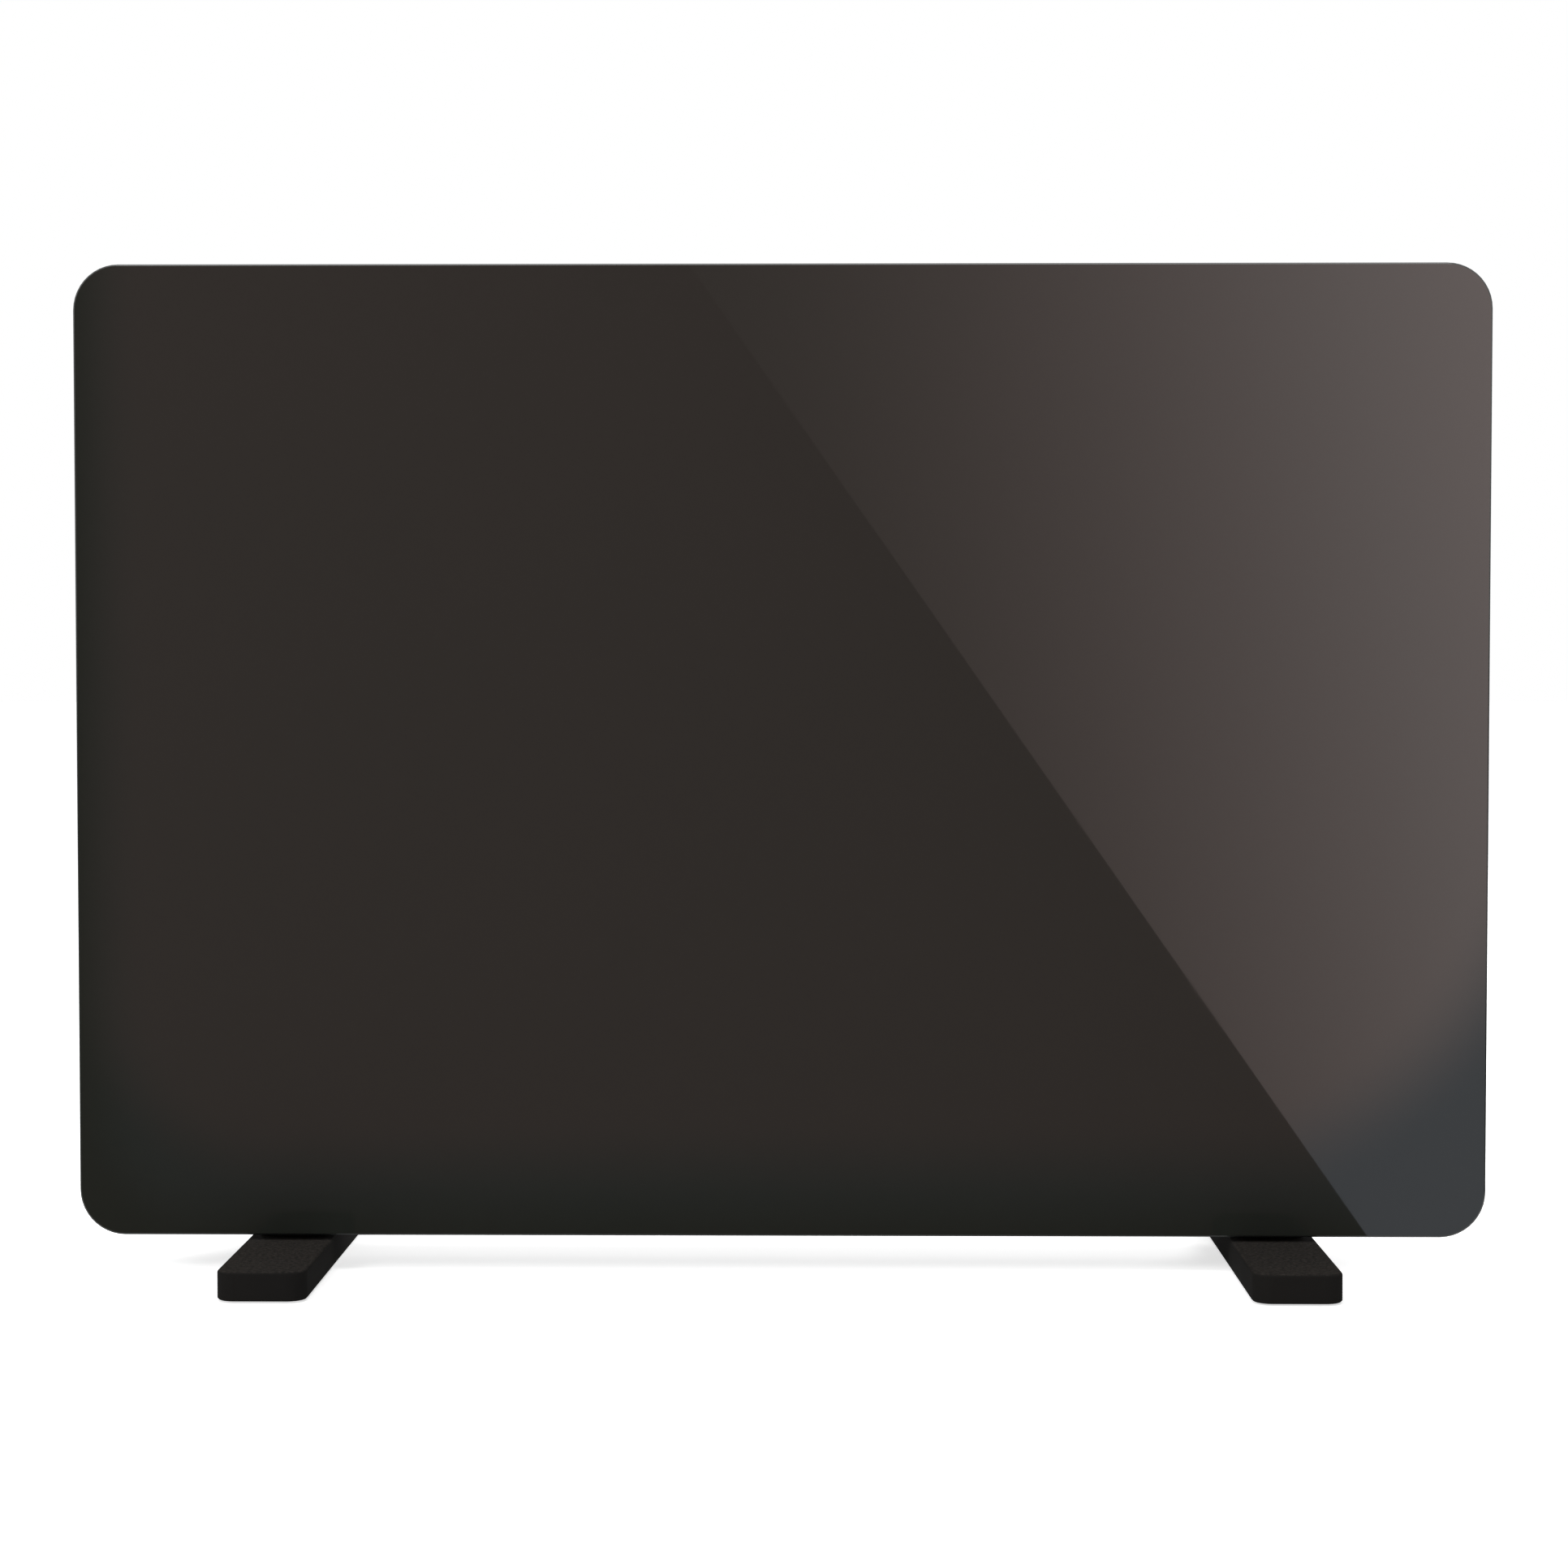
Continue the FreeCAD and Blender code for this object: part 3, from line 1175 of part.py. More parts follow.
def earth_point():
    start = (size.earth_x, TRAY_BACK, size.earth_rise)
    stud = cylinder("earth_bar", start, "y", size.earth_diameter, size.earth_length)
    keep(stud, "earth_stud")
    seat = (size.earth_x, TRAY_BACK + size.tray_sheet, size.earth_rise)
    nut = hexagon("earth_hexagon", seat, "y", size.earth_flats, size.earth_nut_thick)
    thread = cylinder("earth_thread", seat, "y", size.earth_diameter + size.running_gap, size.earth_nut_thick)
    keep(cut("earth_nut_cut", nut, thread), "earth_nut")


def cord_gland():
    """The mains inlet: a collar and a nose outside the back, a thread through it, a bore for the lead."""
    x, z = size.gland_x, size.gland_rise
    inner = HOUSE_BACK - size.gland_thread_length
    thread = cylinder("gland_thread", (x, inner, z), "y", size.gland_thread, size.gland_thread_length)
    collar = hexagon("gland_hexagon", (x, HOUSE_BACK, z), "y", size.gland_flats, size.gland_collar)
    nose_start = HOUSE_BACK + size.gland_collar
    nose = cylinder("gland_nose", (x, nose_start, z), "y", size.gland_nose, size.gland_nose_length)
    doc.recompute()
    tip = (nose_start + size.gland_nose_length).value
    rounded = doc.addObject("Part::Fillet", "gland_round")
    rounded.Base = nose
    rim = next(n for n, e in enumerate(nose.Shape.Edges, 1) if lies_at("y", tip)(e))
    rounded.Edges = [(rim, size.panel_thick.value, size.panel_thick.value)]
    whole = fuse("gland_whole", thread, collar, rounded)
    length = size.gland_thread_length + size.gland_collar + size.gland_nose_length
    bore = cylinder("gland_bore", (x, inner, z), "y", size.gland_bore, length)
    keep(cut("gland_cut", whole, bore), "cord_gland")
    seat = COVER_INSIDE - size.gland_nut_thick
    nut = hexagon("locknut_hexagon", (x, seat, z), "y", size.gland_nut_flats, size.gland_nut_thick)
    hole_diameter = size.gland_thread + size.running_gap
    hole = cylinder("locknut_hole", (x, seat, z), "y", hole_diameter, size.gland_nut_thick)
    keep(cut("locknut_cut", nut, hole), "gland_locknut")


# Internal wires, each held by its two terminals.

def wire(label, *stops):
    """A round wire along straight runs, with an arc of the usual bend radius, or less, at each corner."""
    points = [Vector(*(as_size(n).value for n in stop)) for stop in stops]
    edges = []
    start = points[0]
    for before, corner, after in zip(points, points[1:], points[2:]):
        inward = (before - corner).normalize()
        outward = (after - corner).normalize()
        half_turn = (math.pi - inward.getAngle(outward)) / 2
        room = 0.45 * min((before - corner).Length, (after - corner).Length)
        tangent = min(room, size.wire_bend.value * math.tan(half_turn))
        radius = tangent / math.tan(half_turn)
        bisector = (inward + outward).normalize()
        middle = corner + bisector * (radius / math.cos(half_turn) - radius)
        bend_start, bend_end = corner + inward * tangent, corner + outward * tangent
        edges.append(Part.makeLine(start, bend_start))
        edges.append(Part.Arc(bend_start, middle, bend_end).toShape())
        start = bend_end
    edges.append(Part.makeLine(start, points[-1]))
    route = doc.addObject("Part::Feature", f"{label}_route")
    route.Shape = Part.Wire(edges)
    section = doc.addObject("Part::Circle", f"{label}_section")
    bind(section, "Radius", size.wire_diameter / 2)
    section.Placement = Placement(points[0], Rotation(Vector(0, 0, 1), points[1] - points[0]))
    tube = doc.addObject("Part::Sweep", f"{label}_tube")
    tube.Sections = [section]
    tube.Spine = (route, [f"Edge{n}" for n in range(1, len(edges) + 1)])
    tube.Solid = True
    doc.recompute()
    expected = math.pi * size.wire_diameter.value**2 / 4 * route.Shape.Length
    if abs(tube.Shape.Volume - expected) > 0.01 * expected:
        raise RuntimeError(f"{label} has volume {tube.Shape.Volume}, and its route gives {expected}")
    print(label, "length", round(route.Shape.Length, 1))
    return keep(tube, label)


def wires():
    rod_right = size.element_left - size.rod_tail + size.rod_length + size.rod_pin_length
    rod_left = size.element_left - size.rod_tail - size.rod_pin_length
    lower, upper = ELEMENT_RISES
    rod_y = ELEMENT_Y
    block_y = TRAY_BACK + size.block_depth / 2
    block_top = size.block_rise + size.block_height
    micro_top = size.tip_rise + size.tip_ear / 2 + size.tip_sheet + size.micro_height + size.tab_length
    micro_left = size.tip_x - (size.micro_width - size.tab_width) / 2
    micro_right = size.tip_x + (size.micro_width - size.tab_width) / 2
    cutout_end = size.partition_x + size.tab_length + 9
    cutout_low = size.cutout_rise - size.tab_length / 2
    cutout_high = size.cutout_rise + size.tab_length / 2
    stat_end = PANEL_INSIDE - size.thermostat_depth - size.tab_length
    stat_low = KNOB_Z - size.tab_length
    stat_high = KNOB_Z + size.tab_length
    switch_end = PANEL_FACE - size.switch_depth - size.tab_length
    switch_low = SWITCH_Z - size.tab_length
    switch_high = SWITCH_Z + size.tab_length
    live_x = size.block_x - size.block_pitch
    earth_x = size.block_x + size.block_pitch

    wire(
        "wire_supply",
        (live_x, block_y, block_top),
        (live_x, block_y, 104),
        (live_x + 30, block_y, 124),
        (live_x + 34, block_y, 205),
        (micro_right, TIP_Y, 222),
        (micro_right, TIP_Y, micro_top),
    )
    wire(
        "wire_tip_to_cutout",
        (micro_left, TIP_Y, micro_top),
        (micro_left, TIP_Y, 225),
        (micro_left, rod_y, cutout_low),
        (cutout_end, rod_y, cutout_low),
    )
    wire(
        "wire_cutout_to_thermostat",
        (cutout_end, rod_y, cutout_high),
        (cutout_end + 9, rod_y, cutout_high),
        (cutout_end + 7, PANEL_Y, 300),
        (cutout_end + 6, PANEL_Y, stat_low),
        (stat_end, PANEL_Y, stat_low),
    )
    for label, side, switch_y in (
        ("wire_high_heat_feed", -1, FRONT_SWITCH_Y),
        ("wire_low_heat_feed", 1, REAR_SWITCH_Y),
    ):
        tab_y = PANEL_Y + size.tab_width * side
        wire(
            label,
            (stat_end, tab_y, stat_high),
            (stat_end - 16, tab_y, stat_high),
            (stat_end - 16, switch_y, 318),
            (switch_end - 12, switch_y, switch_high),
            (switch_end, switch_y, switch_high),
        )
    for label, rise, switch_y, back in (
        ("wire_high_heat_load", upper, FRONT_SWITCH_Y, 12),
        ("wire_low_heat_load", lower, REAR_SWITCH_Y, 23),
    ):
        wire(
            label,
            (rod_right, rod_y, rise),
            (rod_right + 5, rod_y, rise),
            (rod_right + 5, back, rise + 14),
            (rod_right + 7, back, 250),
            (switch_end - 14, switch_y, switch_low),
            (switch_end, switch_y, switch_low),
        )
    for label, rise, lane, pole in (
        ("wire_neutral_upper", upper, 10, size.block_x + 1.7),
        ("wire_neutral_lower", lower, 4, size.block_x - 1.7),
    ):
        wire(
            label,
            (rod_left, rod_y, rise),
            (rod_left - 7, rod_y, rise),
            (rod_left - 7, lane, rise - 24),
            (rod_left - 7, lane, 56),
            (rod_left + 8, lane, 50),
            (pole - 20, lane, 50),
            (pole, block_y, 50),
            (pole, block_y, size.block_rise),
        )
    wire(
        "wire_earth",
        (earth_x, block_y, block_top),
        (earth_x, block_y, 96),
        (size.earth_x, block_y, 100),
        (size.earth_x, block_y, size.earth_rise - size.earth_diameter / 2),
    )


# Feet.

def foot(label, x):
    """A bar on the floor with a post that carries the rear cover; pad seats and screw bores underneath."""
    body = new_body(label, x)
    bar = new_sketch(body, "floor", size.pad_proud)
    draw_rectangle(bar, size.foot_width, size.foot_length, corner=size.foot_corner)
    pad(body, bar, size.foot_thick)
    soften(body, "Fillet", size.foot_edge, lies_at("z", FOOT_TOP))
    soften(body, "Chamfer", size.foot_edge / 2, lies_at("z", size.pad_proud))
    post = new_sketch(body, "floor", FOOT_TOP)
    draw_rectangle(post, size.post_width, size.post_depth, ZERO, HOUSE_MIDDLE_Y, corner=size.post_corner)
    pad(body, post, size.cover_bottom - FOOT_TOP)
    seats = new_sketch(body, "floor", size.pad_proud)
    for y in spread(size.pad_spacing, 2):
        draw_circle(seats, size.pad_diameter + size.fit_gap, ZERO, y)
    pocket(body, seats, size.pad_thick - size.pad_proud, towards=1)
    bores = new_sketch(body, "floor", size.pad_proud)
    for y in spread(size.foot_screw_spacing, 2):
        draw_circle(bores, size.foot_bore, ZERO, HOUSE_MIDDLE_Y + y)
    pocket(body, bores, size.foot_bore_top - size.pad_proud, towards=1)
    holes = new_sketch(body, "floor", size.pad_proud)
    for y in spread(size.foot_screw_spacing, 2):
        draw_circle(holes, size.foot_screw_shank + size.fit_gap * 2, ZERO, HOUSE_MIDDLE_Y + y)
    pocket(body, holes, towards=1)
    keep(body, label)


def foot_fixings():
    """Rubber pads, screws and nut plates of both feet."""
    xs = spread(size.foot_spacing, 2)
    disc = cylinder("pad_disc", (ZERO, ZERO, ZERO), "z", size.pad_diameter, size.pad_thick)
    doc.recompute()
    pads = [((x, y, ZERO), (0, 0, 1)) for x in xs for y in spread(size.pad_spacing, 2)]
    group("foot_pads", disc, pads)
    screw = pan_screw(
        "foot", size.foot_screw_head, size.foot_screw_cap, size.foot_screw_shank, size.foot_screw_length
    )
    spots = [
        ((x, HOUSE_MIDDLE_Y + y, size.foot_bore_top), (0, 0, -1))
        for x in xs
        for y in spread(size.foot_screw_spacing, 2)
    ]
    group("foot_screws", screw, spots)
    width, depth, thick = size.nut_plate_width, size.nut_plate_depth, size.nut_plate_thick
    plate = block("nut_plate", (-width / 2, -depth / 2, ZERO), (width, depth, thick))
    threads = [
        cylinder("nut_thread", (ZERO, y, ZERO), "z", size.foot_screw_shank + size.running_gap, thick)
        for y in spread(size.foot_screw_spacing, 2)
    ]
    tapped = cut("nut_plate_cut", plate, *threads)
    seat = size.cover_bottom + size.sheet_metal
    group("foot_nut_plates", tapped, [((x, HOUSE_MIDDLE_Y, seat), (0, 0, 1)) for x in xs])


# Assembly.

def build():
    glass_panel()
    glass_bond_strips()
    front_tray()
    rear_cover()
    rim_screw = rear_cover_screws()
    wall_inserts()
    for name, rise in zip(("lower", "upper"), ELEMENT_RISES):
        element_fins(f"{name}_element_fins", rise)
        element_rod(f"{name}_element_rod", rise)
    element_insulators()
    partition_plate()
    left_element_bracket()
    heat_shield()
    heat_shield_fixings(rim_screw)
    thermal_cutout()
    control_panel()
    control_panel_screws()
    thermostat()
    thermostat_knob()
    for name, y in (("high_heat", FRONT_SWITCH_Y), ("low_heat", REAR_SWITCH_Y)):
        switch_case(f"{name}_switch_case", y)
        switch_rocker(f"{name}_rocker", y)
    pilot_lamp()
    tip_switch()
    terminal_block()
    earth_point()
    cord_gland()
    wires()
    for name, x in zip(("left_foot", "right_foot"), spread(size.foot_spacing, 2)):
        foot(name, x)
    foot_fixings()
    doc.recompute()


def check():
    """Stops if any object failed or any piece is not a valid solid."""
    for thing in doc.Objects:
        if "Invalid" in thing.State or "Error" in thing.State:
            raise RuntimeError(f"{thing.Label} failed: {thing.State}")
    for piece in pieces:
        shape = piece.Shape
        if shape.isNull() or not shape.isValid() or not shape.Solids:
            raise RuntimeError(f"{piece.Label} has no valid solid")


def write():
    os.makedirs("parts", exist_ok=True)
    for piece in pieces:
        piece.Shape.exportStep(f"parts/{piece.Label}.step")
    print(len(pieces), "pieces written")


build()
check()
write()
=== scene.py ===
# %% [markdown]
# # Glass panel heater: finishes, printed marks and a studio picture
#
# A glass panel heater is one sheet of dark glass on two flat feet, with a sheet steel housing behind
# the glass that holds the heating elements and the controls. Every solid is already made, at its real
# size and in its place, in the CAD model. This lesson gives each solid the finish of its real material,
# adds the thin printed marks that a solid model leaves out, and sets up the light of a studio picture.
# All lengths are in metres: X runs to the right, Y to the back and Z up.

# %% Load the solids
import json
import math

import bmesh
import bpy
from mathutils import Matrix, Vector
from mathutils.bvhtree import BVHTree


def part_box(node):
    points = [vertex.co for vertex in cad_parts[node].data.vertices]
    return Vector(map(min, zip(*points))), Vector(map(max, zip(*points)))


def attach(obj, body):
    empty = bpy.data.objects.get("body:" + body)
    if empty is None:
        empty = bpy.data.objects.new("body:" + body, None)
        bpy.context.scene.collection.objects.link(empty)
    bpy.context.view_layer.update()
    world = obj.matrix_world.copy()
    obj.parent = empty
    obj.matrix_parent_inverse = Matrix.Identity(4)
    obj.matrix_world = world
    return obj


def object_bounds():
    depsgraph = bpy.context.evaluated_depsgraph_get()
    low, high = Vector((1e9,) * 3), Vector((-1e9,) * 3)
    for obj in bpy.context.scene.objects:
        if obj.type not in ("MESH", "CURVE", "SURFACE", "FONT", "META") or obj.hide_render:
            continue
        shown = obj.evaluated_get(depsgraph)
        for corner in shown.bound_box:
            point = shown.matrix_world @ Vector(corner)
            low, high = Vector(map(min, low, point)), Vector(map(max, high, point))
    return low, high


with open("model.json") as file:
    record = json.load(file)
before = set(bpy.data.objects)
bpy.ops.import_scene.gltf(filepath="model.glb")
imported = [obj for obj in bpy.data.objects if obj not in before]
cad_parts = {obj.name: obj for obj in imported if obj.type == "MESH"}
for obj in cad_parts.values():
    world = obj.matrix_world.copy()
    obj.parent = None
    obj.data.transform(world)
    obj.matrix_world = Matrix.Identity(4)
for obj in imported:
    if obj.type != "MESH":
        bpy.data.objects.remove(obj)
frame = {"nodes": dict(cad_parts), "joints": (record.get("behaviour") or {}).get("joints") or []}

MM = 0.001
cad_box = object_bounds()
print("solids loaded:", len(frame["nodes"]))
print("size in mm:", [round(side / MM, 1) for side in cad_box[1] - cad_box[0]])

# %% [markdown]
# ## Camera
#
# The picture is taken from almost straight ahead, a little above the middle of the glass, with a long
# lens, so the sides of the sheet lean in only slightly. A camera can be placed by eye, or worked out
# from points that can be measured in the picture. Here the corners of the glass and of the feet were
# matched, which gives the place, the tilt and the lens together. The frame is square.

# %% Camera
EYE = Vector((0.0193, -1.4397, 0.2686))
TILT_DOWN = 0.03808
TURN_LEFT = 0.01279
LENS_MM = 73.43
SENSOR_MM = 36.0

scene = bpy.context.scene
camera_data = bpy.data.cameras.new("camera")
camera_data.lens = LENS_MM
camera_data.sensor_width = SENSOR_MM
camera = bpy.data.objects.new("camera", camera_data)
camera.location = EYE
camera.rotation_euler = (math.pi / 2 - TILT_DOWN, 0.0, TURN_LEFT)
scene.collection.objects.link(camera)
scene.camera = camera
scene.view_settings.view_transform = "Standard"
print("camera: %.2f m in front of the heater's middle" % -EYE.y)

# %% [markdown]
# ## Helpers for node trees
#
# A finish is a tree of small nodes that ends in one shader. Written out in full, every node takes four
# or five lines, and the idea gets lost. These helpers add one node in one line, so that the code
# of a finish reads like its recipe: take this noise, spread it over that range, mix those two colours.

# %% Node helpers
# A Mix node has one set of sockets for numbers and another for colours. These are their places.
MIX_SHARE = 0
FIRST_NUMBER, SECOND_NUMBER, MIXED_NUMBER = 2, 3, 0
FIRST_COLOUR, SECOND_COLOUR, MIXED_COLOUR = 6, 7, 2


def add_node(tree, kind, inputs=None, **settings):
    """Adds a node. Its settings come first, then each input is linked to a socket or set to a value."""
    node = tree.nodes.new(kind)
    for name, value in settings.items():
        setattr(node, name, value)
    for socket, value in (inputs or {}).items():
        if isinstance(value, bpy.types.NodeSocket):
            tree.links.new(value, node.inputs[socket])
        else:
            node.inputs[socket].default_value = value
    return node


def maths(tree, operation, first, second):
    """One step of arithmetic on two numbers or sockets."""
    return add_node(tree, "ShaderNodeMath", {0: first, 1: second}, operation=operation).outputs["Value"]


def vectors(tree, operation, first, second=(0.0, 0.0, 0.0)):
    """One step of vector arithmetic. LENGTH and DOT_PRODUCT give a number, the others a vector."""
    node = add_node(tree, "ShaderNodeVectorMath", {0: first, 1: second}, operation=operation)
    number = operation in ("LENGTH", "DOT_PRODUCT")
    return node.outputs["Value" if number else "Vector"]


def spread(tree, value, low, high, to_low, to_high, shape="LINEAR"):
    """Maps low..high onto to_low..to_high and holds the ends."""
    ends = {"Value": value, "From Min": low, "From Max": high, "To Min": to_low, "To Max": to_high}
    return add_node(tree, "ShaderNodeMapRange", ends, interpolation_type=shape).outputs["Result"]


def mix_colours(tree, share, first, second):
    """A colour that goes from first to second as share goes from 0 to 1."""
    inputs = {MIX_SHARE: share, FIRST_COLOUR: first, SECOND_COLOUR: second}
    return add_node(tree, "ShaderNodeMix", inputs, data_type="RGBA").outputs[MIXED_COLOUR]


def mix_numbers(tree, share, first, second):
    """A number that goes from first to second as share goes from 0 to 1."""
    inputs = {MIX_SHARE: share, FIRST_NUMBER: first, SECOND_NUMBER: second}
    return add_node(tree, "ShaderNodeMix", inputs).outputs[MIXED_NUMBER]


def mix_shaders(tree, share, first, second):
    """A node that goes from the first shader node to the second as share goes from 0 to 1."""
    inputs = {0: share, 1: first.outputs[0], 2: second.outputs[0]}
    return add_node(tree, "ShaderNodeMixShader", inputs)


def noise(tree, where, scale, detail=2.0, roughness=0.5):
    """Soft noise from 0 to 1, mostly close to one half."""
    inputs = {"Vector": where, "Scale": scale, "Detail": detail, "Roughness": roughness}
    return add_node(tree, "ShaderNodeTexNoise", inputs).outputs[0]


def object_place(tree):
    """Where a point is on the heater, in metres."""
    return add_node(tree, "ShaderNodeTexCoord").outputs["Object"]


print("node helpers ready")

# %% [markdown]
# ## Shared effects
#
# Moulded plastic, sprayed paint and rubber all have a fine grain and soft clouds of a second shade.
# Drawn and rolled metals all have long faint lines. Every surface gathers a little dust where it faces
# up, and a few finger marks. Each of these effects is a node group with named inputs and outputs, made
# once and placed in many finishes with other values. A group only puts out masks and heights, and the
# shader stays in the material, where it can be found and changed.

# %% Group helpers
NUMBER = "NodeSocketFloat"


def new_group(name, inputs, outputs):
    """An empty shader group with named number inputs and outputs, and its two end nodes."""
    group = bpy.data.node_groups.new(name, "ShaderNodeTree")
    for socket, default in inputs.items():
        made = group.interface.new_socket(socket, in_out="INPUT", socket_type=NUMBER)
        made.default_value = default
    for socket in outputs:
        group.interface.new_socket(socket, in_out="OUTPUT", socket_type=NUMBER)
    return group, group.nodes.new("NodeGroupInput"), group.nodes.new("NodeGroupOutput")


def use_group(tree, group, values):
    """Places a group in a material with its own values, and gives its outputs."""
    return add_node(tree, "ShaderNodeGroup", values, node_tree=group).outputs


print("group helpers ready")

# %% Group: fine grain
CLOUDS_PER_METRE = 16.0
CLOUD_RANGE = (0.3, 0.7)


def make_grain():
    """Height of a fine grain that is Size wide, and soft clouds about 60 mm across."""
    group, start, end = new_group("fine_grain", {"Size": 0.5 * MM}, ["Height", "Clouds"])
    place = object_place(group)
    per_metre = maths(group, "DIVIDE", 1.0, start.outputs["Size"])
    grain = noise(group, place, per_metre, detail=3.0, roughness=0.55)
    group.links.new(grain, end.inputs["Height"])
    slow = noise(group, place, CLOUDS_PER_METRE, detail=4.0)
    clouds = spread(group, slow, *CLOUD_RANGE, 0.0, 1.0, "SMOOTHSTEP")
    group.links.new(clouds, end.inputs["Clouds"])
    return group


grain_group = make_grain()
print("group made:", grain_group.name)

# %% Group: drawn lines
TARNISH_PER_METRE = 45.0
TARNISH_RANGE = (0.4, 0.7)


def make_lines():
    """Long faint lines along X, Width apart and Length long, and small patches of tarnish."""
    defaults = {"Width": 0.3 * MM, "Length": 40 * MM}
    group, start, end = new_group("drawn_lines", defaults, ["Lines", "Tarnish"])
    place = object_place(group)
    across = maths(group, "DIVIDE", 1.0, start.outputs["Width"])
    along = maths(group, "DIVIDE", 1.0, start.outputs["Length"])
    stretch = add_node(group, "ShaderNodeCombineXYZ", {"X": along, "Y": across, "Z": across})
    stretched = vectors(group, "MULTIPLY", place, stretch.outputs["Vector"])
    lines = noise(group, stretched, 1.0, detail=3.0, roughness=0.6)
    group.links.new(lines, end.inputs["Lines"])
    slow = noise(group, place, TARNISH_PER_METRE, detail=4.0)
    patches = spread(group, slow, *TARNISH_RANGE, 0.0, 1.0, "SMOOTHSTEP")
    group.links.new(patches, end.inputs["Tarnish"])
    return group


lines_group = make_lines()
print("group made:", lines_group.name)

# %% Group: dust and touch
UPWARD_RANGE = (0.5, 0.95)
DUST_PER_METRE = 600.0
DUST_RANGE = (0.4, 0.75)
TOUCH_PER_METRE = 28.0
TOUCH_RANGE = (0.5, 0.72)


def make_handling():
    """Dust on what faces up, which on the feet is also painted light on their tops, and finger marks in
    patches, each times its own amount.
    """
    group, start, end = new_group("handling", {"Dust": 0.1, "Touch": 0.1}, ["Dust", "Touch"])
    coordinates = add_node(group, "ShaderNodeTexCoord").outputs
    upward = add_node(group, "ShaderNodeSeparateXYZ", {"Vector": coordinates["Normal"]}).outputs["Z"]
    facing = spread(group, upward, *UPWARD_RANGE, 0.0, 1.0, "SMOOTHSTEP")
    fine = noise(group, coordinates["Object"], DUST_PER_METRE, detail=5.0, roughness=0.7)
    specks = spread(group, fine, *DUST_RANGE, 0.0, 1.0)
    dust = maths(group, "MULTIPLY", maths(group, "MULTIPLY", facing, specks), start.outputs["Dust"])
    group.links.new(dust, end.inputs["Dust"])
    patches = noise(group, coordinates["Object"], TOUCH_PER_METRE, detail=3.0, roughness=0.6)
    marks = spread(group, patches, *TOUCH_RANGE, 0.0, 1.0, "SMOOTHSTEP")
    group.links.new(maths(group, "MULTIPLY", marks, start.outputs["Touch"]), end.inputs["Touch"])
    return group


handling_group = make_handling()
print("group made:", handling_group.name)

# %% [markdown]
# ## Two kinds of skin
#
# Most finishes of the heater are of two kinds. A skin that is moulded, sprayed or fired has a body
# colour, a fine grain and some dust. A bare metal has almost no body colour: it is a mirror, dulled by
# lines and tarnish. One function for each kind keeps the recipes of the single finishes short. What
# is the same all over a surface, such as how strongly it bends light, is set on the shader itself.

# %% Skins
# A light, warm shade for what faces up: dust, and on the feet also painted light on their tops.
DUST_AND_TOP_LIGHT_COLOUR = (0.35, 0.30, 0.26, 1.0)
NOISE_RANGE = (0.32, 0.68)        # where most of a soft noise lies
TARNISH_DULLS = 0.08              # added to the roughness where a metal is fully tarnished


def grey(level, warm=0.0):
    """A near neutral colour. A warm share above 0 lifts red and lowers blue."""
    return (level * (1 + warm), level, level * (1 - warm), 1.0)


def new_finish(name, constants):
    """A material with one Principled shader. Constants go straight onto the shader's sockets."""
    material = bpy.data.materials.new(name)
    material.use_nodes = True
    shader = material.node_tree.nodes["Principled BSDF"]
    for socket, value in constants.items():
        shader.inputs[socket].default_value = value
    return material, material.node_tree, shader


def feed(tree, shader, colour, rough, height, depth):
    """Links colour, roughness and a height of a real depth to the shader."""
    bump = add_node(tree, "ShaderNodeBump", {"Strength": 1.0, "Distance": depth, "Height": height})
    tree.links.new(colour, shader.inputs["Base Color"])
    tree.links.new(rough, shader.inputs["Roughness"])
    tree.links.new(bump.outputs["Normal"], shader.inputs["Normal"])


def coated_skin(name, colour, cloud, grain, depth, gloss, dust=0.0, touch=0.0, constants=None):
    """A moulded, sprayed or fired skin.

    colour and cloud are two close shades, grain and depth the width and depth of the grain in metres,
    gloss the lowest and highest roughness, dust and touch how much of each lies on it. The dust is a light,
    warm shade on what faces up, and on the feet it is painted light on their tops as well.
    """
    material, tree, shader = new_finish(name, constants or {})
    skin = use_group(tree, grain_group, {"Size": grain})
    marks = use_group(tree, handling_group, {"Dust": dust, "Touch": touch})
    clean = mix_colours(tree, skin["Clouds"], colour, cloud)
    # Towards the dust shade where the surface faces up: dust, and on the feet painted top light too.
    dusted_and_top_lit = mix_colours(tree, marks["Dust"], clean, DUST_AND_TOP_LIGHT_COLOUR)
    grained = spread(tree, skin["Height"], *NOISE_RANGE, *gloss)
    rough = maths(tree, "ADD", grained, maths(tree, "SUBTRACT", marks["Dust"], marks["Touch"]))
    feed(tree, shader, dusted_and_top_lit, rough, skin["Height"], depth)
    return material


def bare_metal(name, colour, tarnish, width, length, depth, gloss):
    """A bare metal with lines along X.

    colour and tarnish are the clean and the dulled shade, width, length and depth the size of a line
    in metres, gloss the lowest and highest roughness.
    """
    material, tree, shader = new_finish(name, {"Metallic": 1.0})
    drawn = use_group(tree, lines_group, {"Width": width, "Length": length})
    shade = mix_colours(tree, drawn["Tarnish"], colour, tarnish)
    streaked = spread(tree, drawn["Lines"], *NOISE_RANGE, *gloss)
    dulled = maths(tree, "MULTIPLY", drawn["Tarnish"], TARNISH_DULLS)
    feed(tree, shader, shade, maths(tree, "ADD", streaked, dulled), drawn["Lines"], depth)
    return material


def dress(material, *names):
    """Gives solids of the CAD model this finish."""
    for name in names:
        slots = frame["nodes"][name].data.materials
        slots.clear()
        slots.append(material)
    print(material.name, "on", ", ".join(names))


print("skin recipes ready")

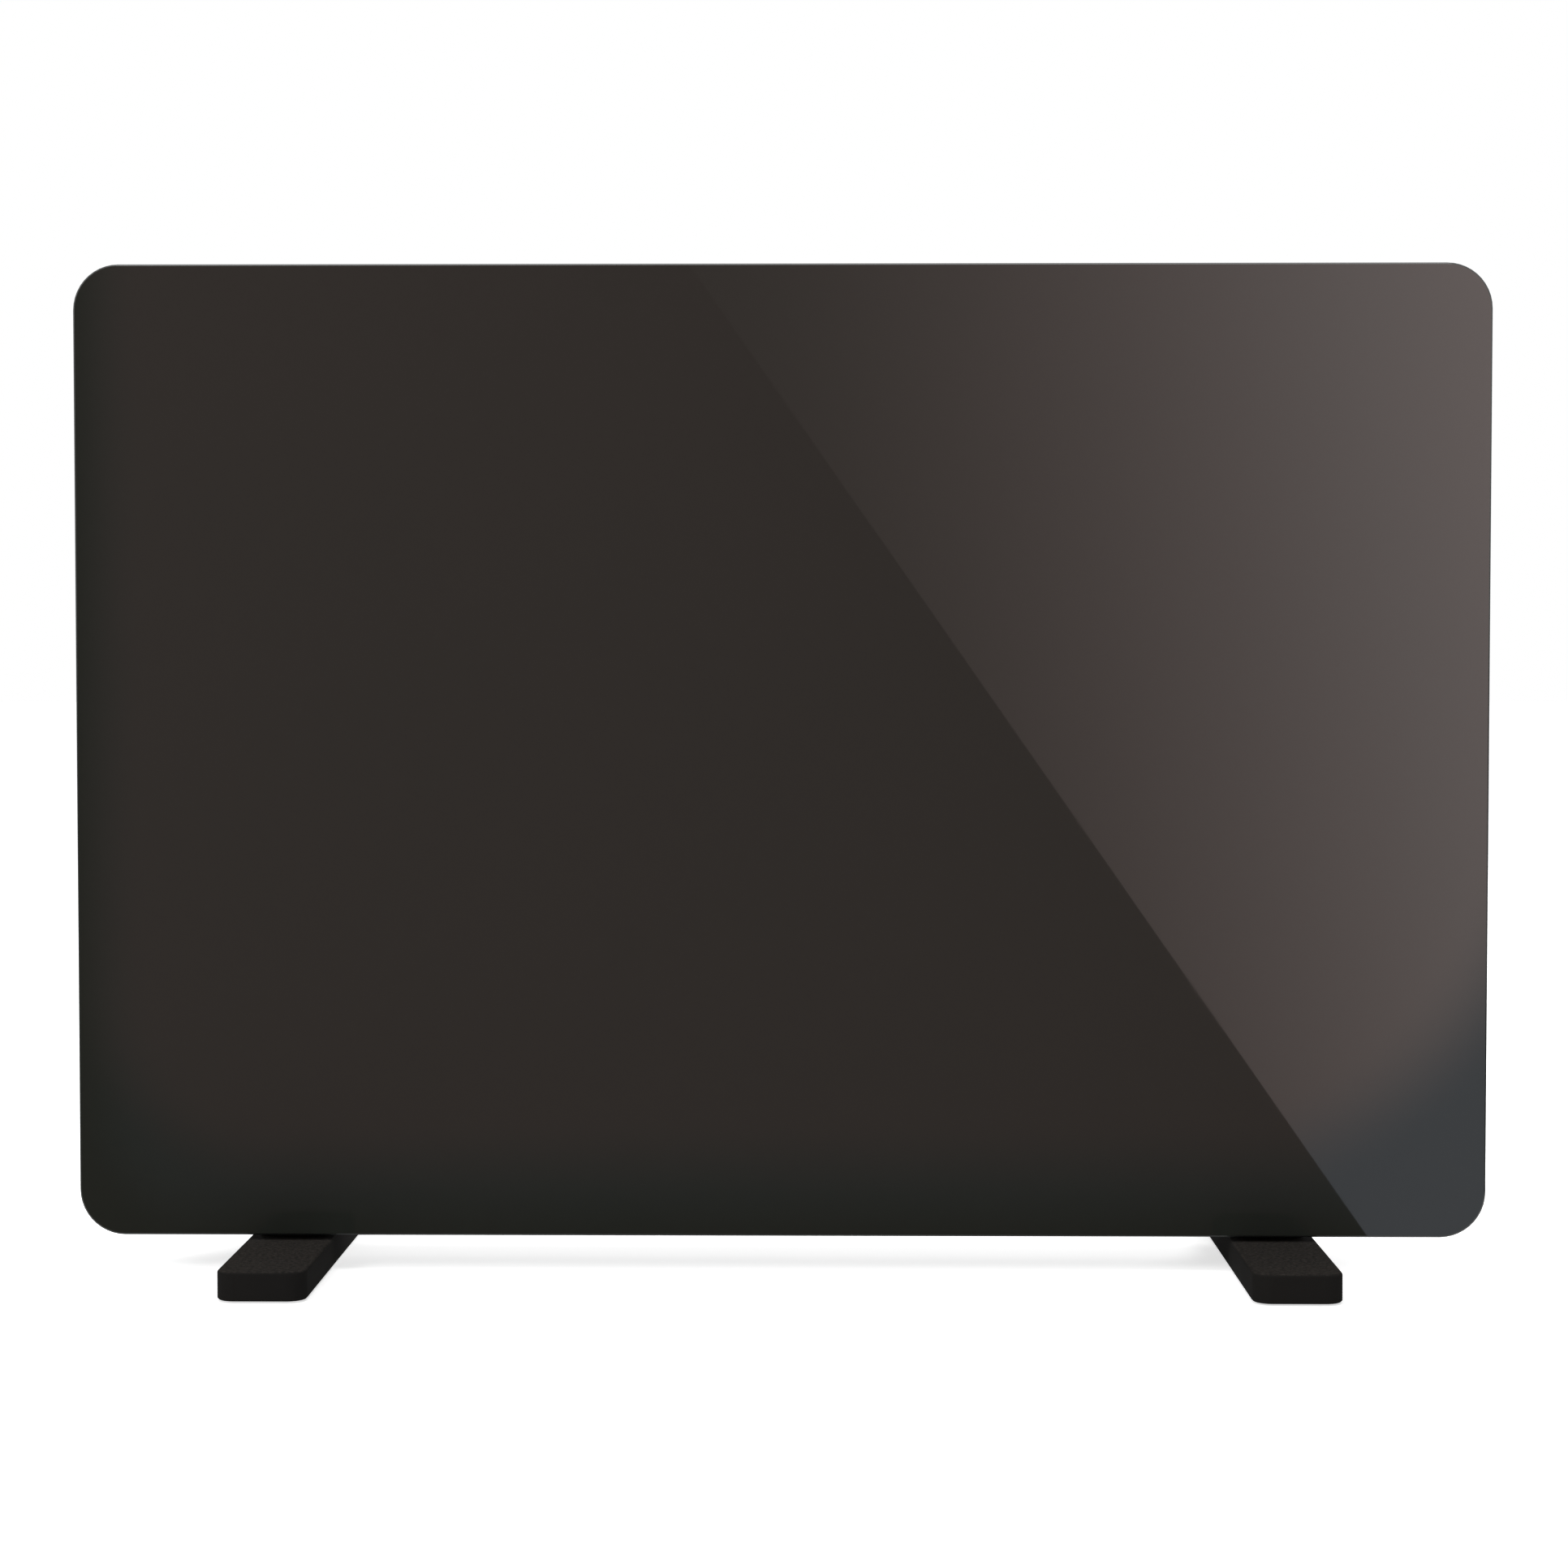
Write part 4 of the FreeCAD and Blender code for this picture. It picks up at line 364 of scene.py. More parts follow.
# %% [markdown]
# ## Smoked glass
#
# The sheet is tempered glass, so dark that nothing shows through, and its back carries a black fired
# enamel. It could be made as clear glass with a tint and a dark layer behind it, but no light comes
# back out of such a sheet, so a near black body under a polished surface looks the same and renders
# without noise. A polished front mirrors about a twenty-fifth of what stands before it: the picture in the
# glass is most of its look. Furnace rollers leave the faintest waves in the sheet, and fingers
# leave smears that only show in the gloss. The rim is ground, so it is duller, with a hint
# of green, and the enamel on the back is dull too. The three zones are told apart by their depth, Y.

# %% Smoked glass
GLASS_BODY = (0.0187, 0.0210, 0.0176, 1.0)
GLASS_CLOUD = (0.0193, 0.0212, 0.0178, 1.0)
GROUND_RIM = (0.018, 0.021, 0.020, 1.0)
BACK_ENAMEL = (0.010, 0.010, 0.011, 1.0)
POLISHED, SMEARED, GROUND, ENAMELLED = 0.010, 0.012, 0.30, 0.50
ZONE_STARTS, ZONE_FULL = 0.07 * MM, 0.21 * MM
WAVES_PER_METRE = 7.0
WAVE_DEPTH = 0.012 * MM


def make_smoked_glass():
    """Dark glass: polished in front, ground at the rim, enamelled behind."""
    material, tree, shader = new_finish("smoked_glass_sheet", {"IOR": 1.5})
    front, back = (corner.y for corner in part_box("glass_panel"))
    place = object_place(tree)
    depth = add_node(tree, "ShaderNodeSeparateXYZ", {"Vector": place}).outputs["Y"]
    on_rim = spread(tree, depth, front + ZONE_STARTS, front + ZONE_FULL, 0.0, 1.0)
    on_back = spread(tree, depth, back - ZONE_FULL, back - ZONE_STARTS, 0.0, 1.0)
    clouds = use_group(tree, grain_group, {})["Clouds"]
    marks = use_group(tree, handling_group, {"Dust": 0.0, "Touch": SMEARED})
    body = mix_colours(tree, clouds, GLASS_BODY, GLASS_CLOUD)
    rimmed = mix_colours(tree, on_rim, body, GROUND_RIM)
    colour = mix_colours(tree, on_back, rimmed, BACK_ENAMEL)
    gloss = maths(tree, "ADD", marks["Touch"], POLISHED)
    rim_gloss = mix_numbers(tree, on_rim, gloss, GROUND)
    rough = mix_numbers(tree, on_back, rim_gloss, ENAMELLED)
    waves = noise(tree, place, WAVES_PER_METRE, detail=1.0)
    feed(tree, shader, colour, rough, waves, WAVE_DEPTH)
    return material


dress(make_smoked_glass(), "glass_panel")

# %% [markdown]
# ## Silicone strips
#
# Four strips of silicone hold the glass to the steel tray. Cured silicone is soft, dark grey and a
# little waxy, with a slow uneven surface from the bead that was pressed flat.

# %% Silicone
silicone = coated_skin(
    "silicone_bond", grey(0.055), grey(0.075), grain=1.6 * MM, depth=0.03 * MM, gloss=(0.42, 0.58)
)
dress(silicone, "glass_bond_strips")

# %% [markdown]
# ## Powder coat
#
# The housing is pressed from thin sheet steel and coated with black powder that melts in an oven. It
# flows almost smooth and leaves a fine pebbled skin, less than a millimetre from bump to bump. That is
# too small to model, so it is a height in the finish. Dust settles along the top.

# %% Powder coat
powder_coat = coated_skin(
    "powder_coat", grey(0.019), grey(0.025), grain=0.75 * MM, depth=0.030 * MM, gloss=(0.40, 0.58),
    dust=0.10, touch=0.05, constants={"Specular IOR Level": 0.35},
)
dress(powder_coat, "rear_cover")

# %% [markdown]
# ## Galvanised sheet
#
# The inner plates are cut from zinc coated sheet. As the zinc cools it grows flat crystals, which show as
# a mosaic of lighter and darker cells called spangle. A Voronoi texture gives the cells, each with
# its own random shade, and the rolling lines of the steel run across all of them.

# %% Galvanised sheet
SPANGLE_PER_METRE = 160.0
ZINC_LIGHT = (0.66, 0.67, 0.68, 1.0)
ZINC_DARK = (0.46, 0.48, 0.50, 1.0)
SPANGLE_GLOSS = (0.26, 0.44)
ROLLING_GLOSS = (-0.03, 0.05)
ROLLING_WIDTH, ROLLING_LENGTH, ROLLING_DEPTH = 0.5 * MM, 80 * MM, 0.006 * MM


def make_galvanised_sheet():
    """Zinc coated sheet steel with its spangle."""
    material, tree, shader = new_finish("galvanised_sheet", {"Metallic": 1.0})
    spangle = {"Vector": object_place(tree), "Scale": SPANGLE_PER_METRE}
    cells = add_node(tree, "ShaderNodeTexVoronoi", spangle).outputs["Color"]
    shade = add_node(tree, "ShaderNodeSeparateColor", {"Color": cells}).outputs["Red"]
    drawn = use_group(tree, lines_group, {"Width": ROLLING_WIDTH, "Length": ROLLING_LENGTH})
    colour = mix_colours(tree, shade, ZINC_LIGHT, ZINC_DARK)
    cell_gloss = spread(tree, shade, 0.0, 1.0, *SPANGLE_GLOSS)
    line_gloss = spread(tree, drawn["Lines"], *NOISE_RANGE, *ROLLING_GLOSS)
    rough = maths(tree, "ADD", cell_gloss, line_gloss)
    feed(tree, shader, colour, rough, drawn["Lines"], ROLLING_DEPTH)
    return material


dress(
    make_galvanised_sheet(),
    "front_tray", "partition_plate", "left_element_bracket", "tip_switch_bracket", "foot_nut_plates",
)

# %% [markdown]
# ## Zinc plated fasteners
#
# Screws, nuts, pins and inserts are turned or rolled steel with a thin bright plating. They are smoother
# than the sheet, with a faint yellow and blue cast from the bath that seals the zinc.

# %% Plated fasteners
plated_steel = bare_metal(
    "plated_steel", (0.49, 0.50, 0.52, 1.0), (0.40, 0.38, 0.32, 1.0),
    width=0.12 * MM, length=2 * MM, depth=0.004 * MM, gloss=(0.22, 0.36),
)
dress(
    plated_steel,
    "rear_cover_screws", "wall_inserts", "heat_shield_spacers", "heat_shield_screws",
    "control_panel_screws", "thermostat_spindle", "thermostat_nut", "tip_switch_pin",
    "tip_switch_pendulum", "foot_screws",
)

# %% [markdown]
# ## Aluminium
#
# The fins are pressed out of a die as one long bar, which leaves fine straight lines along their length.
# The heat shield is rolled foil sheet with the same direction, so one finish serves both.

# %% Aluminium
lined_aluminium = bare_metal(
    "lined_aluminium", (0.74, 0.75, 0.76, 1.0), (0.68, 0.68, 0.68, 1.0),
    width=0.4 * MM, length=120 * MM, depth=0.008 * MM, gloss=(0.24, 0.42),
)
dress(lined_aluminium, "lower_element_fins", "upper_element_fins", "heat_shield")

# %% [markdown]
# ## Heating rods
#
# A stainless rod that has glowed carries temper colours: straw, bronze, then blue. The colour depends
# on how hot each stretch was, so slow noise along the rod picks a place on a colour ramp.

# %% Heating rods
TEMPER_PER_METRE = 14.0
TEMPER_COLOURS = {
    0.25: (0.42, 0.38, 0.33, 1.0),
    0.45: (0.46, 0.33, 0.18, 1.0),
    0.60: (0.30, 0.19, 0.20, 1.0),
    0.78: (0.20, 0.24, 0.34, 1.0),
}
ROD_LINE_WIDTH, ROD_LINE_LENGTH, ROD_LINE_DEPTH = 0.2 * MM, 15 * MM, 0.006 * MM
ROD_GLOSS = (0.28, 0.48)


def make_tempered_rod():
    """Stainless steel with temper colours."""
    material, tree, shader = new_finish("tempered_rod", {"Metallic": 1.0})
    heat = noise(tree, object_place(tree), TEMPER_PER_METRE, detail=3.0)
    ramp = add_node(tree, "ShaderNodeValToRGB", {"Fac": heat})
    stops = ramp.color_ramp.elements
    while len(stops) < len(TEMPER_COLOURS):
        stops.new(1.0)
    for stop, (position, colour) in zip(stops, TEMPER_COLOURS.items()):
        stop.position = position
        stop.color = colour
    drawn = use_group(tree, lines_group, {"Width": ROD_LINE_WIDTH, "Length": ROD_LINE_LENGTH})
    rough = spread(tree, drawn["Lines"], *NOISE_RANGE, *ROD_GLOSS)
    feed(tree, shader, ramp.outputs["Color"], rough, drawn["Lines"], ROD_LINE_DEPTH)
    return material


dress(make_tempered_rod(), "lower_element_rod", "upper_element_rod")

# %% [markdown]
# ## Ceramic bushes
#
# The hot rods pass through the steel in bushes of steatite, a cream coloured ceramic that is pressed from
# powder and fired. It is slightly uneven in colour, with a smooth, eggshell surface.

# %% Ceramic
ceramic = coated_skin(
    "steatite_ceramic", (0.76, 0.72, 0.63, 1.0), (0.68, 0.62, 0.52, 1.0),
    grain=0.35 * MM, depth=0.010 * MM, gloss=(0.30, 0.46),
)
dress(ceramic, "element_insulators")

# %% [markdown]
# ## Dark moulded plastics
#
# The control panel, the switch cases and the gland come out of moulds with an etched surface, which
# gives a fine even grain that hides flow marks. The knob is moulded smoother, for the fingers, and the
# rockers are polished. All three are the same recipe, with a shallower grain and more gloss each time.

# %% Dark moulded plastics
panel_plastic = coated_skin(
    "panel_plastic", grey(0.011), grey(0.014), grain=0.45 * MM, depth=0.018 * MM, gloss=(0.36, 0.50),
    dust=0.05, touch=0.05, constants={"Specular IOR Level": 0.35},
)
dress(
    panel_plastic,
    "control_panel", "high_heat_switch_case", "low_heat_switch_case", "thermal_cutout",
    "tip_micro_switch", "cord_gland", "gland_locknut",
)
smooth_plastic = coated_skin(
    "smooth_plastic", grey(0.017), grey(0.021), grain=0.25 * MM, depth=0.006 * MM, gloss=(0.30, 0.42),
    dust=0.04, touch=0.10,
)
dress(smooth_plastic, "thermostat_knob")
polished_plastic = coated_skin(
    "polished_plastic", grey(0.013), grey(0.016), grain=1.2 * MM, depth=0.004 * MM, gloss=(0.13, 0.20),
    touch=0.05,
)
dress(polished_plastic, "high_heat_rocker", "low_heat_rocker")

# %% [markdown]
# ## Feet and pads
#
# The feet are thick moulded bars with a fine matt grain, almost black. Their tops carry a little light,
# warm dust, which also stands in for the light from above: painted light that makes the tops lighter than
# the fronts. The pads under them are soft rubber, which is as dull and picks up dust from the floor.

# %% Feet and pads
# The dust on the feet is partly painted light: it makes their tops lighter than the fronts.
matt_plastic = coated_skin(
    "matt_plastic", grey(0.0120, warm=0.05), grey(0.0135, warm=0.08),
    grain=0.5 * MM, depth=0.018 * MM, gloss=(0.72, 0.88),
    dust=0.12, touch=0.04, constants={"Specular IOR Level": 0.03},
)
dress(matt_plastic, "left_foot", "right_foot")
soft_rubber = coated_skin(
    "soft_rubber", grey(0.018), grey(0.026), grain=0.9 * MM, depth=0.04 * MM, gloss=(0.70, 0.86), dust=0.2
)
dress(soft_rubber, "foot_pads")

# %% [markdown]
# ## Pale plastics
#
# The terminal block and the back of the thermostat are natural nylon and resin, cream white, which
# shows the weld lines of the mould as slow clouds.

# %% Pale plastics
natural_nylon = coated_skin(
    "natural_nylon", (0.74, 0.72, 0.65, 1.0), (0.66, 0.63, 0.54, 1.0),
    grain=0.6 * MM, depth=0.012 * MM, gloss=(0.36, 0.50), dust=0.05,
)
dress(natural_nylon, "terminal_block", "thermostat_body")

# %% [markdown]
# ## Lamp lens
#
# The pilot lamp has an amber lens, dyed so deep that the lamp behind it can't be made out while it is
# off. Fine rings are moulded into it, to spread the light. It could be made as tinted glass, but so small a
# thick lens only shows a dark jumble of what is behind it. Here the light that the dye sends back is
# a colour: lighter in the middle, where the lens is thin, deep towards the rim, and paler on each ring.
# The rings are worked out from the distance to the lens's own middle, across Y and Z.

# %% Lamp lens
RING_PITCH = 0.9 * MM
RING_DEPTH = 0.04 * MM
RING_PEAK = 0.5               # the rings' height runs from 0 to this
BETWEEN_RINGS = 0.6           # share of the pale middle that is left between two rings
LENS_ROUGHNESS, LENS_TOUCH = 0.16, 0.05
AMBER_RIM = (0.30, 0.050, 0.006, 1.0)
AMBER_MIDDLE = (0.86, 0.27, 0.030, 1.0)


def make_lamp_lens():
    """Amber lens with moulded rings about its own middle."""
    material, tree, shader = new_finish("amber_lens", {"IOR": 1.49})
    low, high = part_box("pilot_lamp")
    offset = vectors(tree, "SUBTRACT", object_place(tree), (low + high) / 2)
    across = vectors(tree, "MULTIPLY", offset, (0.0, 1.0, 1.0))
    distance = vectors(tree, "LENGTH", across)
    rings = maths(tree, "PINGPONG", maths(tree, "DIVIDE", distance, RING_PITCH), RING_PEAK)
    thin = spread(tree, distance, 0.0, (high.z - low.z) / 2, 1.0, 0.0, "SMOOTHSTEP")
    share = maths(tree, "MULTIPLY", thin, spread(tree, rings, 0.0, RING_PEAK, BETWEEN_RINGS, 1.0))
    marks = use_group(tree, handling_group, {"Dust": 0.0, "Touch": LENS_TOUCH})
    rough = maths(tree, "SUBTRACT", LENS_ROUGHNESS, marks["Touch"])
    feed(tree, shader, mix_colours(tree, share, AMBER_RIM, AMBER_MIDDLE), rough, rings, RING_DEPTH)
    return material


dress(make_lamp_lens(), "pilot_lamp")

# %% [markdown]
# ## Brass
#
# The terminal screws and the earth stud are machined brass. It is bright where the tool cut it, and
# darkens to brown in patches as it ages.

# %% Brass
machined_brass = bare_metal(
    "machined_brass", (0.78, 0.57, 0.27, 1.0), (0.50, 0.34, 0.15, 1.0),
    width=0.15 * MM, length=3 * MM, depth=0.005 * MM, gloss=(0.20, 0.36),
)
dress(machined_brass, "terminal_screws", "earth_stud", "earth_nut")

# %% [markdown]
# ## Wires
#
# The inner wires have soft insulation in the usual colours: brown for live, blue for neutral, and green
# with a yellow stripe for earth. The first two differ only in colour, so one loop makes them. The stripe
# runs along the wire, so it can't follow a straight axis. The way the surface faces does it: the strip that
# faces the back of the heater most squarely is yellow, wherever the wire goes.

# %% Wires
WIRE_GRAIN, WIRE_GRAIN_DEPTH, WIRE_GLOSS = 0.8 * MM, 0.012 * MM, (0.34, 0.48)
WIRE_SHADES = {
    "brown_insulation": ((0.150, 0.058, 0.024, 1.0), (0.120, 0.046, 0.020, 1.0)),
    "blue_insulation": ((0.020, 0.090, 0.330, 1.0), (0.016, 0.070, 0.260, 1.0)),
}
LIVE_WIRES = (
    "wire_supply", "wire_tip_to_cutout", "wire_cutout_to_thermostat", "wire_high_heat_feed",
    "wire_low_heat_feed", "wire_high_heat_load", "wire_low_heat_load",
)
NEUTRAL_WIRES = ("wire_neutral_upper", "wire_neutral_lower")
EARTH_GREEN = (0.035, 0.230, 0.045, 1.0)
EARTH_YELLOW = (0.640, 0.500, 0.030, 1.0)
STRIPE_RANGE = (0.80, 0.86)

for wires, (name, shades) in zip((LIVE_WIRES, NEUTRAL_WIRES), WIRE_SHADES.items()):
    dress(coated_skin(name, *shades, WIRE_GRAIN, WIRE_GRAIN_DEPTH, WIRE_GLOSS), *wires)


def make_earth_wire():
    """Green insulation with a yellow stripe along it."""
    material, tree, shader = new_finish("green_yellow_insulation", {})
    normal = add_node(tree, "ShaderNodeTexCoord").outputs["Normal"]
    facing = add_node(tree, "ShaderNodeSeparateXYZ", {"Vector": normal}).outputs["Y"]
    stripe = spread(tree, facing, *STRIPE_RANGE, 0.0, 1.0)
    skin = use_group(tree, grain_group, {"Size": WIRE_GRAIN})
    rough = spread(tree, skin["Height"], *NOISE_RANGE, *WIRE_GLOSS)
    colour = mix_colours(tree, stripe, EARTH_GREEN, EARTH_YELLOW)
    feed(tree, shader, colour, rough, skin["Height"], WIRE_GRAIN_DEPTH)
    return material


dress(make_earth_wire(), "wire_earth")

# %% [markdown]
# ## Printed marks
#
# The control panel is printed with a scale round the knob and with bars that tell the two heat switches
# apart, and the rockers carry a bar for on and a ring for off. Printed ink has a thickness, almost a
# tenth of a millimetre, so the marks are thin meshes. They could be painted in the finish, but a mesh
# keeps its sharp edge at any distance. To sit right, a mark needs the face under it: a ray is sent at
# the solid, and the point and the normal that it hits become the mark's own small frame, whose X points
# to the right of someone who looks at the panel, Y up the face and Z out of it.

# %% Tools for printed marks
INK_HEIGHT = 0.10 * MM
INK_SUNK = 0.02 * MM
BODY = "heater"
CORNER_STEPS = 4
ROUND_SHARE = 0.49            # of a bar's width: just under one half, so that its ends stay sound
NEARLY_UPRIGHT = 0.9
TURN_STEPS = 40
MERGE_DISTANCE = 0.001 * MM

ink = coated_skin(
    "pale_ink", grey(0.74, warm=0.01), grey(0.68, warm=0.02),
    grain=0.3 * MM, depth=0.003 * MM, gloss=(0.44, 0.60),
)


def face_frame(name, y, z):
    """The small frame of a mark on a solid's right hand face, at this depth Y and height Z."""
    mesh = frame["nodes"][name].data
    tree = BVHTree.FromPolygons([v.co for v in mesh.vertices], [f.vertices for f in mesh.polygons])
    start = Vector((cad_box[1].x, y, z))
    point, outward = tree.ray_cast(start, Vector((-1.0, 0.0, 0.0)))[:2]
    right = Vector((0.0, 1.0, 0.0))
    up = outward.cross(right).normalized()
    turn = Matrix((right, up, outward)).transposed()
    return Matrix.Translation(point) @ turn.to_4x4()


def add_bar(bm, place, width, length, height=INK_HEIGHT):
    """A thin bar with round ends that lies along Y of its place."""
    block = Matrix.Translation((0.0, 0.0, height / 2 - INK_SUNK))
    block = place @ block @ Matrix.Diagonal((width, length, height, 1.0))
    made = bmesh.ops.create_cube(bm, size=1.0, matrix=block)["verts"]
    outward = place.to_3x3() @ Vector((0.0, 0.0, 1.0))
    upright = []
    for edge in dict.fromkeys(edge for vert in made for edge in vert.link_edges):
        direction = (edge.verts[0].co - edge.verts[1].co).normalized()
        if abs(direction.dot(outward)) > NEARLY_UPRIGHT:
            upright.append(edge)
    bmesh.ops.bevel(
        bm, geom=upright, offset=ROUND_SHARE * width, affect="EDGES",
        segments=CORNER_STEPS, profile=0.5, material=-1,
    )


def add_ring(bm, place, radius, width, height=INK_HEIGHT):
    """A flat ring: its section is spun round the axis of its place."""
    section = [
        (radius - width / 2, -INK_SUNK), (radius + width / 2, -INK_SUNK),
        (radius + width / 2, height - INK_SUNK), (radius - width / 2, height - INK_SUNK),
    ]
    verts = [bm.verts.new(place @ Vector((x, 0.0, z))) for x, z in section]
    edges = [bm.edges.new((verts[i - 1], verts[i])) for i in range(len(verts))]
    bmesh.ops.spin(
        bm, geom=verts + edges, cent=place.translation, axis=place.to_3x3() @ Vector((0.0, 0.0, 1.0)),
        angle=math.tau, steps=TURN_STEPS, use_merge=True, use_duplicate=False,
    )


def new_object(name, bm, material):
    """Turns a mesh in the making into an object at the origin."""
    mesh = bpy.data.meshes.new(name)
    bm.to_mesh(mesh)
    bm.free()
    mesh.materials.append(material)
    made = bpy.data.objects.new(name, mesh)
    scene.collection.objects.link(made)
    return made


def new_print(name, bm, body):
    """Closes the mesh of a printed mark and lets it ride on a body of the heater."""
    bmesh.ops.remove_doubles(bm, verts=bm.verts, dist=MERGE_DISTANCE)
    bmesh.ops.recalc_face_normals(bm, faces=bm.faces)
    piece = new_object(name, bm, ink)
    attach(piece, body)
    print(name, "rides on", body, "with", len(piece.data.polygons), "faces")


print("ink ready:", ink.name)

# %% [markdown]
# ### Scale round the knob
#
# The thermostat has no exact degrees, only less and more. Its printed scale is a row of strokes that grow
# from one end of the knob's turn to the other. The turn itself is read from the knob's joint, so
# the first stroke stands where the pointer rests and the last where it stops.

# %% Scale round the knob
SCALE_STROKES = 13
SCALE_RADIUS = 19.3 * MM
STROKE_WIDTH = 0.75 * MM
SHORT_STROKE, LONG_STROKE = 1.0 * MM, 2.9 * MM
REST_ANGLE = math.radians(225)

knob_low, knob_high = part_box("thermostat_knob")
knob_middle = (knob_low + knob_high) / 2
knob_joint = next(joint for joint in frame["joints"] if joint["name"] == "knob_turn")
knob_turn = math.radians(knob_joint["range_deg"][1] - knob_joint["range_deg"][0])
dial_face = face_frame("control_panel", knob_middle.y + SCALE_RADIUS, knob_middle.z)
dial_centre = Vector((dial_face.translation.x, knob_middle.y, knob_middle.z))
dial_frame = Matrix.Translation(dial_centre) @ dial_face.to_3x3().to_4x4()

dial = bmesh.new()
for stroke in range(SCALE_STROKES):
    share = stroke / (SCALE_STROKES - 1)
    length = SHORT_STROKE + share * (LONG_STROKE - SHORT_STROKE)
    turn = Matrix.Rotation(REST_ANGLE - share * knob_turn - math.pi / 2, 4, "Z")
    outwards = Matrix.Translation((0.0, SCALE_RADIUS + length / 2, 0.0))
    add_bar(dial, dial_frame @ turn @ outwards, STROKE_WIDTH, length)
new_print("dial_scale", dial, BODY)

# %% [markdown]
# ### Pointer of the knob
#
# A pale strip is set into the groove of the knob and stays a little below its face, so that it doesn't
# wear off. The groove is found with the same kind of ray, and the strip turns with the knob.

# %% Pointer of the knob
GROOVE_INNER, GROOVE_OUTER = 5.0 * MM, 16.0 * MM
POINTER_WIDTH = 1.5 * MM
POINTER_HEIGHT = 0.5 * MM
POINTER_PLAY = 0.1 * MM

pointer_radius = (GROOVE_INNER + GROOVE_OUTER) / 2
pointer_length = GROOVE_OUTER - GROOVE_INNER - 2 * POINTER_PLAY
pointer_y = knob_middle.y + pointer_radius * math.cos(REST_ANGLE)
pointer_z = knob_middle.z + pointer_radius * math.sin(REST_ANGLE)
groove_floor = face_frame("thermostat_knob", pointer_y, pointer_z)
pointer = bmesh.new()
pointer_turn = Matrix.Rotation(REST_ANGLE - math.pi / 2, 4, "Z")
add_bar(pointer, groove_floor @ pointer_turn, POINTER_WIDTH, pointer_length, POINTER_HEIGHT)
new_print("knob_pointer", pointer, "knob")

# %% [markdown]
# ### Marks on and beside the switches
#
# Each rocker has a bar on its upper half, for on, and a ring on its lower half, for off. Under each
# switch the panel shows one bar for low heat and two for high heat.

# %% Marks on and beside the switches
LOBE_OFFSET = 7.0 * MM
ON_WIDTH, ON_LENGTH = 0.9 * MM, 4.2 * MM
OFF_RADIUS, OFF_WIDTH = 1.9 * MM, 0.8 * MM
HEAT_BARS = {"low_heat": 1, "high_heat": 2}
HEAT_BAR_WIDTH, HEAT_BAR_LENGTH, HEAT_BAR_PITCH = 1.0 * MM, 3.4 * MM, 2.2 * MM
HEAT_BAR_GAP = 1.6 * MM

heat_marks = bmesh.new()
for heat, bars in HEAT_BARS.items():
    rocker = heat + "_rocker"
    case_low, case_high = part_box(heat + "_switch_case")
    middle = (case_low + case_high) / 2
    marks = bmesh.new()
    add_bar(marks, face_frame(rocker, middle.y, middle.z + LOBE_OFFSET), ON_WIDTH, ON_LENGTH)
    add_ring(marks, face_frame(rocker, middle.y, middle.z - LOBE_OFFSET), OFF_RADIUS, OFF_WIDTH)
    new_print(heat + "_rocker_marks", marks, rocker)
    bar_z = case_low.z - HEAT_BAR_GAP - HEAT_BAR_LENGTH / 2
    for bar in range(bars):
        bar_y = middle.y + (bar - (bars - 1) / 2) * HEAT_BAR_PITCH
        add_bar(heat_marks, face_frame("control_panel", bar_y, bar_z), HEAT_BAR_WIDTH, HEAT_BAR_LENGTH)
new_print("heat_marks", heat_marks, BODY)

# %% [markdown]
# ## Floor and surrounding light
#
# The heater stands on a white sweep, lit so softly that the floor and the wall behind it run together.
# More lamps would burn the heater out, so the white is set for the camera and for mirrors alone: where
# such a ray meets the floor or the sky, it finds them white. Light that falls on the heater stays at a
# plain level, and the floor keeps the soft shadow under the feet. One thing is left out: a mirror ray that
# skims the floor finds it clear and passes on into the dark below the horizon, as if the floor ended close
# to the heater. That keeps the dark, upright faces dark, while a higher view still finds the white floor
# in them.

# %% Floor
FLOOR_HALF = 20.0
WHITE = (1.0, 1.0, 1.0, 1.0)
FLOOR_SKIN = {"Base Color": (0.90, 0.90, 0.90, 1.0), "Roughness": 0.9, "Emission Color": WHITE}
CAMERA_LIFT, MIRROR_LIFT = 0.66, 0.12
SKIM_RANGE = (0.72, 0.80)


def stage_object(name, bm, material):
    """Makes an object for the studio, such as the floor or a card, in the same way as any other object."""
    stage = new_object(name, bm, material)
    return stage


def mirror_rays(tree, rays):
    """1 for a ray that comes from a mirror or through something clear, and 0 for all others."""
    return maths(tree, "MAXIMUM", rays["Is Glossy Ray"], rays["Is Transmission Ray"])


def make_floor():
    """A wide white floor that keeps the shadow on it, and is clear to mirror rays that skim it."""
    material, tree, shader = new_finish("studio_floor", FLOOR_SKIN)
    rays = add_node(tree, "ShaderNodeLightPath").outputs
    for_camera = maths(tree, "MULTIPLY", rays["Is Camera Ray"], CAMERA_LIFT)
    for_mirrors = maths(tree, "MULTIPLY", mirror_rays(tree, rays), MIRROR_LIFT)
    tree.links.new(maths(tree, "ADD", for_camera, for_mirrors), shader.inputs["Emission Strength"])
    slant = add_node(tree, "ShaderNodeLayerWeight").outputs["Facing"]
    skimming = spread(tree, slant, *SKIM_RANGE, 0.0, 1.0)
    clear_share = maths(tree, "MULTIPLY", skimming, rays["Is Glossy Ray"])
    clear = add_node(tree, "ShaderNodeBsdfTransparent")
    mixed = mix_shaders(tree, clear_share, shader, clear)
    tree.links.new(mixed.outputs[0], tree.nodes["Material Output"].inputs["Surface"])
    bm = bmesh.new()
    bmesh.ops.create_grid(bm, x_segments=1, y_segments=1, size=FLOOR_HALF)
    stage_object("studio_floor", bm, material)


